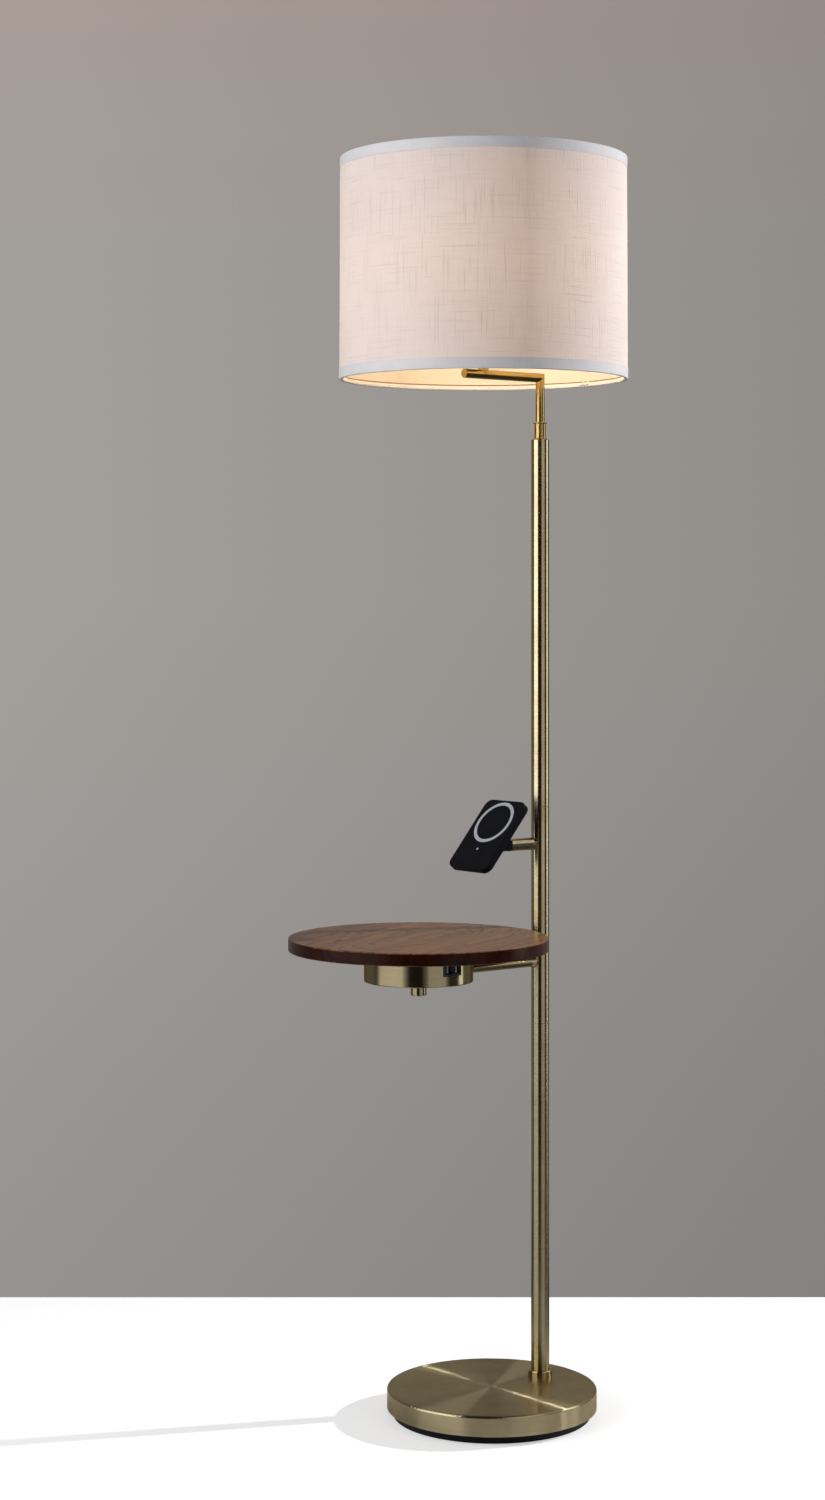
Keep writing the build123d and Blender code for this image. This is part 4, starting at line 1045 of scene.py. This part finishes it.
class LAMP_OT_fittings(Operator):
    """Finish the pan, ports, switch, wires and fasteners"""

    bl_idname = "lamp.fittings"
    bl_label = "Fittings"

    def execute(self, context):
        colours = context.scene.lamp_colours
        pan = speckled_finish(
            "pan_black", colours.black, 0.5, grain=1200.0, depth=0.1 * MM, specular_level=0.15
        )
        black = speckled_finish("moulded_black", colours.black, 0.45, grain=1800.0, depth=0.06 * MM)
        rubber = speckled_finish("gland_rubber", colours.foam, 0.7, grain=1500.0, depth=0.1 * MM)
        pale = speckled_finish("tongue_pale", colours.pale, 0.45, grain=1500.0, depth=0.03 * MM)
        iron = speckled_finish("cast_weight", colours.iron, 0.7, grain=400.0, depth=0.6 * MM)
        steel = metal_finish("plated_steel", colours.steel, 0.3)
        dress(pan, "base_foot")
        dress(black, "port_block", "power_supply", "switch_body", "lead_wires")
        dress(rubber, "cord_gland")
        dress(pale, "port_tongues")
        dress(iron, "base_weight")
        dress(steel, "pan_screws", "base_nipple", "base_nut", "pole_plug", "pole_joiners")
        dress(steel, "swivel_retainer", "arm_nut", "mount_plate", "tray_screws")
        dress(steel, "switch_nut", "switch_shaft", "swivel_screw", "hinge_pin")
        return {"FINISHED"}


def view_axes(studio):
    """Level directions towards the camera and to the right of its picture."""
    towards = Vector((sin(studio.azimuth), -cos(studio.azimuth), 0))
    right = Vector((cos(studio.azimuth), sin(studio.azimuth), 0))
    return towards, right


def level_heading(studio, degrees):
    """Level direction at an angle from the camera's, to the right of its picture."""
    towards, right = view_axes(studio)
    turn = radians(degrees)
    return towards * cos(turn) + right * sin(turn)


def area_light(context, name, power, centre, target, along, size, **shown):
    """A rectangular light that faces a target, with its first side along a direction.

    shown gives the kinds of ray that see it, by name; the camera never does.
    """
    data = bpy.data.lights.new(name, "AREA")
    data.shape = "RECTANGLE"
    data.energy = power
    data.size, data.size_y = size
    light = bpy.data.objects.new(name, data)
    back = (centre - target).normalized()
    first = (along - along.dot(back) * back).normalized()
    facing = Matrix((first, back.cross(first), back)).transposed().to_4x4()
    light.matrix_world = Matrix.Translation(centre) @ facing
    light.visible_camera = False
    for ray, visible in shown.items():
        setattr(light, "visible_" + ray, visible)
    context.scene.collection.objects.link(light)
    return light


class LAMP_OT_stage(Operator):
    """Set the camera, the pale floor, the grey surroundings and the lights"""

    bl_idname = "lamp.stage"
    bl_label = "Stage"

    def execute(self, context):
        studio = context.scene.lamp_studio
        pole = middle("lower_pole")
        pole.z = 0
        self.set_camera(context, studio, pole)
        self.set_floor(context, studio, pole)
        self.set_world(context, studio)
        self.set_lights(context, studio, pole)
        self.set_bulb(context, studio)
        context.scene.view_settings.view_transform = "Standard"
        return {"FINISHED"}

    def set_camera(self, context, studio, pole):
        """Level camera with its horizon lifted by the lens shift."""
        towards, right = view_axes(studio)
        data = bpy.data.cameras.new("camera")
        data.lens = studio.lens
        data.shift_y = studio.horizon_shift
        camera = bpy.data.objects.new("camera", data)
        camera.location = pole + towards * studio.distance - right * studio.side_step
        camera.location.z = studio.eye_height
        camera.rotation_euler = Euler((pi / 2, 0, studio.azimuth))
        context.scene.collection.objects.link(camera)
        context.scene.camera = camera

    def set_floor(self, context, studio, pole):
        """White floor, and behind the lamp a grey backdrop that shows from its front only."""
        towards, right = view_axes(studio)
        edge = pole - towards * studio.floor_behind
        across = right * studio.floor_span / 2
        reach = towards * studio.floor_span
        rise = Vector((0, 0, studio.floor_span / 2))
        floor = self.floor_material(studio, pole)
        backdrop = self.backdrop_material(context, studio)
        self.add_sheet(context, "floor", edge, across, reach, floor)
        behind = self.add_sheet(context, "floor_behind", edge, -across, -reach, floor)
        wall = self.add_sheet(context, "backdrop", edge, -across, rise, backdrop)
        for sheet in (behind, wall):
            for ray in ("diffuse", "glossy", "transmission", "shadow"):
                setattr(sheet, "visible_" + ray, False)

    def add_sheet(self, context, name, edge, across, reach, material):
        """A flat sheet of the stage from an edge's middle, its half-width and its reach."""
        corners = [edge - across, edge - across + reach, edge + across + reach, edge + across]
        mesh = bpy.data.meshes.new(name)
        mesh.from_pydata([tuple(corner) for corner in corners], [], [(0, 1, 2, 3)])
        mesh.materials.append(material)
        sheet = bpy.data.objects.new(name, mesh)
        context.scene.collection.objects.link(sheet)
        return sheet

    def backdrop_material(self, context, studio):
        """The grey of the surroundings as the camera's first place sees it, clear from behind."""
        material, tree, outputs = new_material("backdrop_grey")
        sight = from_place(tree, outputs, context.scene.camera.location)
        sight = vector_maths(tree, "NORMALIZE", sight)["Vector"]
        set_shader(tree, {
            "Base Color": BLACK,
            "Specular IOR Level": 0.0,
            "Emission Color": self.grey_fall(tree, studio, sight)[0],
            "Emission Strength": 1.0,
        })
        behind = add(tree, "ShaderNodeNewGeometry").outputs["Backfacing"]
        add_mix(tree, behind, add(tree, "ShaderNodeBsdfTransparent"))
        return material

    def floor_material(self, studio, pole):
        """White to the camera with the lamp's shadow, grey to soft light.

        Metal shows a painted pool of light round the base, and beyond it a dark floor with painted light
        on the softbox's and the panel's sides.
        """
        material, tree, outputs = new_material("pale_floor")
        path = add(tree, "ShaderNodeLightPath").outputs
        seen, mirrored = path["Is Camera Ray"], path["Is Glossy Ray"]
        away = vector_maths(tree, "LENGTH", outputs["Object"])["Value"]
        far = remap(tree, away, 0.4 * studio.floor_reach, studio.floor_reach)
        pool = mix(tree, far, rgba(studio.floor_colour), rgba(studio.floor_far))
        colour = mix(tree, mirrored, rgba(studio.floor_bounce), pool)
        heading = vector_maths(tree, "NORMALIZE", from_place(tree, outputs, pole))["Vector"]
        glow = 0.0
        for turn, width, strength in FLOOR_SECTORS:
            centre = tuple(level_heading(studio, turn))
            near = vector_maths(tree, "DOT_PRODUCT", heading, centre)["Value"]
            outer, inner = (cos(radians(width + edge)) for edge in (SECTOR_EDGE, -SECTOR_EDGE))
            glow = maths(tree, "ADD", remap(tree, near, outer, inner, 0.0, strength), glow)
        glow = maths(tree, "MULTIPLY", maths(tree, "MULTIPLY", glow, far), mirrored)
        lift = remap(tree, away, LIFT_NEAR, LIFT_FAR, studio.floor_lift, 1.0)
        lift = maths(tree, "MULTIPLY", seen, lift)
        set_shader(tree, {
            "Base Color": mix(tree, seen, colour, rgba(studio.floor_colour)),
            "Roughness": 0.6,
            "Specular IOR Level": 0.1,
            "Emission Color": WHITE,
            "Emission Strength": maths(tree, "ADD", lift, glow),
        })
        return material

    def grey_fall(self, tree, studio, direction):
        """Grey of the surroundings along a direction, with its rise and its turn to the right: painted
        lamplight makes it warm above, and it is lighter to the left and darker to the right.
        """
        right = view_axes(studio)[1]
        rise = parts_of(tree, direction)["Z"]
        side = vector_maths(tree, "DOT_PRODUCT", direction, tuple(right))["Value"]
        tones = (studio.backdrop_low, studio.backdrop, studio.backdrop_high)
        low, plain, high = (rgba(tone) for tone in tones)
        stops = [(0.0, low), (0.5, plain), (0.75, plain), (1.0, high)]
        grey = ramp(tree, remap(tree, rise, -0.25, 0.25), stops)
        return tinted(tree, grey, remap(tree, side, -0.15, 0.15, 1.06, 0.8)), rise, side

    def set_world(self, context, studio):
        """Grey surroundings, dark behind the camera in reflections, and even light."""
        world = bpy.data.worlds.new("studio")
        context.scene.world = world
        world.use_nodes = True
        tree = world.node_tree
        tree.nodes.clear()
        direction = add(tree, "ShaderNodeTexCoord").outputs["Generated"]
        path = add(tree, "ShaderNodeLightPath").outputs
        mirrored = path["Is Glossy Ray"]
        grey, rise, side = self.grey_fall(tree, studio, direction)
        grey = mix(tree, mirrored, grey, rgba(studio.backdrop_low))
        towards = tuple(view_axes(studio)[0])
        facing = vector_maths(tree, "DOT_PRODUCT", direction, towards)["Value"]
        dark = maths(tree, "MULTIPLY", remap(tree, facing, -0.85, 0.25), mirrored)
        backdrop = mix(tree, dark, grey, rgba(studio.dark_side))
        corner = (remap(tree, rise, 0.22, 0.42), remap(tree, side, 0.35, 0.6))
        above = maths(tree, "MULTIPLY", maths(tree, "MULTIPLY", *corner), mirrored)
        backdrop = mix(tree, above, backdrop, rgba(studio.overhead))
        seen = maths(tree, "MAXIMUM", path["Is Camera Ray"], mirrored)
        seen = maths(tree, "MAXIMUM", seen, path["Is Transmission Ray"])
        even = {"Color": AMBIENT_TINT, "Strength": studio.ambient}
        lit = add(tree, "ShaderNodeBackground", even).outputs[0]
        shown = add(tree, "ShaderNodeBackground", {"Color": backdrop, "Strength": 1.0}).outputs[0]
        chosen = add(tree, "ShaderNodeMixShader", {0: seen, 1: lit, 2: shown})
        add(tree, "ShaderNodeOutputWorld", {"Surface": chosen.outputs[0]})

    def streak_place(self, context, studio, top):
        """Place behind the lamp whose light turning lines send to the camera in one streak."""
        view = (context.scene.camera.location - top).normalized()
        along = Vector((cos(studio.streak_angle), sin(studio.streak_angle), 0))
        half = along * sin(studio.streak_lean) + Vector((0, 0, cos(studio.streak_lean)))
        return top + (2 * view.dot(half) * half - view) * studio.streak_distance

    def set_lights(self, context, studio, pole):
        """Softbox left, panel, key and strip right, and a back light for the base's streak."""

        def area(name, power, turn, distance, height, size, aim, **shown):
            centre = pole + level_heading(studio, turn) * distance
            centre.z = height
            target = Vector((pole.x, pole.y, aim))
            level = (target - centre).cross(Vector((0, 0, 1)))
            area_light(context, name, power, centre, target, level, size, **shown)

        area(
            "softbox", studio.softbox_power,
            turn=-60, distance=2.2, height=1.425, size=(2.2, 1.95), aim=1.425,
        )
        area(
            "panel", studio.panel_power,
            turn=36, distance=2.6, height=1.3, size=(1.9, 2.3), aim=1.3,
        )
        area(
            "key", studio.key_power,
            turn=104, distance=3.5, height=1.95, size=(0.05, 0.05), aim=0.4, glossy=False,
        )
        area(
            "strip", studio.strip_power,
            turn=98, distance=3.5, height=1.2, size=(0.8, 2.4), aim=1.2, diffuse=False,
        )
        top = middle("base_cover")
        top.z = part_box("base_cover")[1].z
        place = self.streak_place(context, studio, top)
        right = view_axes(studio)[1]
        size = (0.04, 0.04)
        power = studio.streak_power
        streak = area_light(context, "streak", power, place, top, right, size, diffuse=False)
        streak.data.spread = studio.streak_spread

    def set_bulb(self, context, studio):
        """The lamp's own light, which turns with the head."""
        bulb = bpy.data.lights.new("bulb_light", "POINT")
        bulb.energy = studio.bulb_power
        bulb.color = BULB_LIGHT
        bulb.shadow_soft_size = BULB_LIGHT_RADIUS
        light = bpy.data.objects.new("bulb_light", bulb)
        light.location = middle("bulb_glass")
        light.parent = frame["bodies"]["head"]
        light.visible_camera = False
        light.visible_glossy = False
        context.scene.collection.objects.link(light)


class LAMP_PT_sidebar(Panel):
    """Steps of the lamp's finishing, with its sizes and colours"""

    bl_label = "Floor Lamp"
    bl_space_type = "VIEW_3D"
    bl_region_type = "UI"
    bl_category = "Lamp"

    def draw(self, context):
        scene = context.scene
        for step in STEPS:
            self.layout.operator(step.bl_idname)
        for group in (scene.lamp_sizes, scene.lamp_colours, scene.lamp_studio):
            box = self.layout.box()
            for name in group.__annotations__:
                box.prop(group, name)


STEPS = (
    LAMP_OT_stage,
    LAMP_OT_shade_cloth,
    LAMP_OT_shade_tapes,
    LAMP_OT_shade_inside,
    LAMP_OT_brass,
    LAMP_OT_neck_beads,
    LAMP_OT_tray,
    LAMP_OT_canister_screws,
    LAMP_OT_port_contacts,
    LAMP_OT_charger,
    LAMP_OT_fittings,
    LAMP_OT_floor_pad,
)
CLASSES = (LampSizes, LampColours, StudioSetup, *STEPS, LAMP_PT_sidebar)


def register():
    for cls in CLASSES:
        bpy.utils.register_class(cls)
    bpy.types.Scene.lamp_sizes = PointerProperty(type=LampSizes)
    bpy.types.Scene.lamp_colours = PointerProperty(type=LampColours)
    bpy.types.Scene.lamp_studio = PointerProperty(type=StudioSetup)


def unregister():
    del bpy.types.Scene.lamp_studio
    del bpy.types.Scene.lamp_colours
    del bpy.types.Scene.lamp_sizes
    for cls in reversed(CLASSES):
        bpy.utils.unregister_class(cls)


def main():
    register()
    for step in STEPS:
        area, name = step.bl_idname.split(".")
        getattr(getattr(bpy.ops, area), name)()


if __name__ == "__main__":
    main()
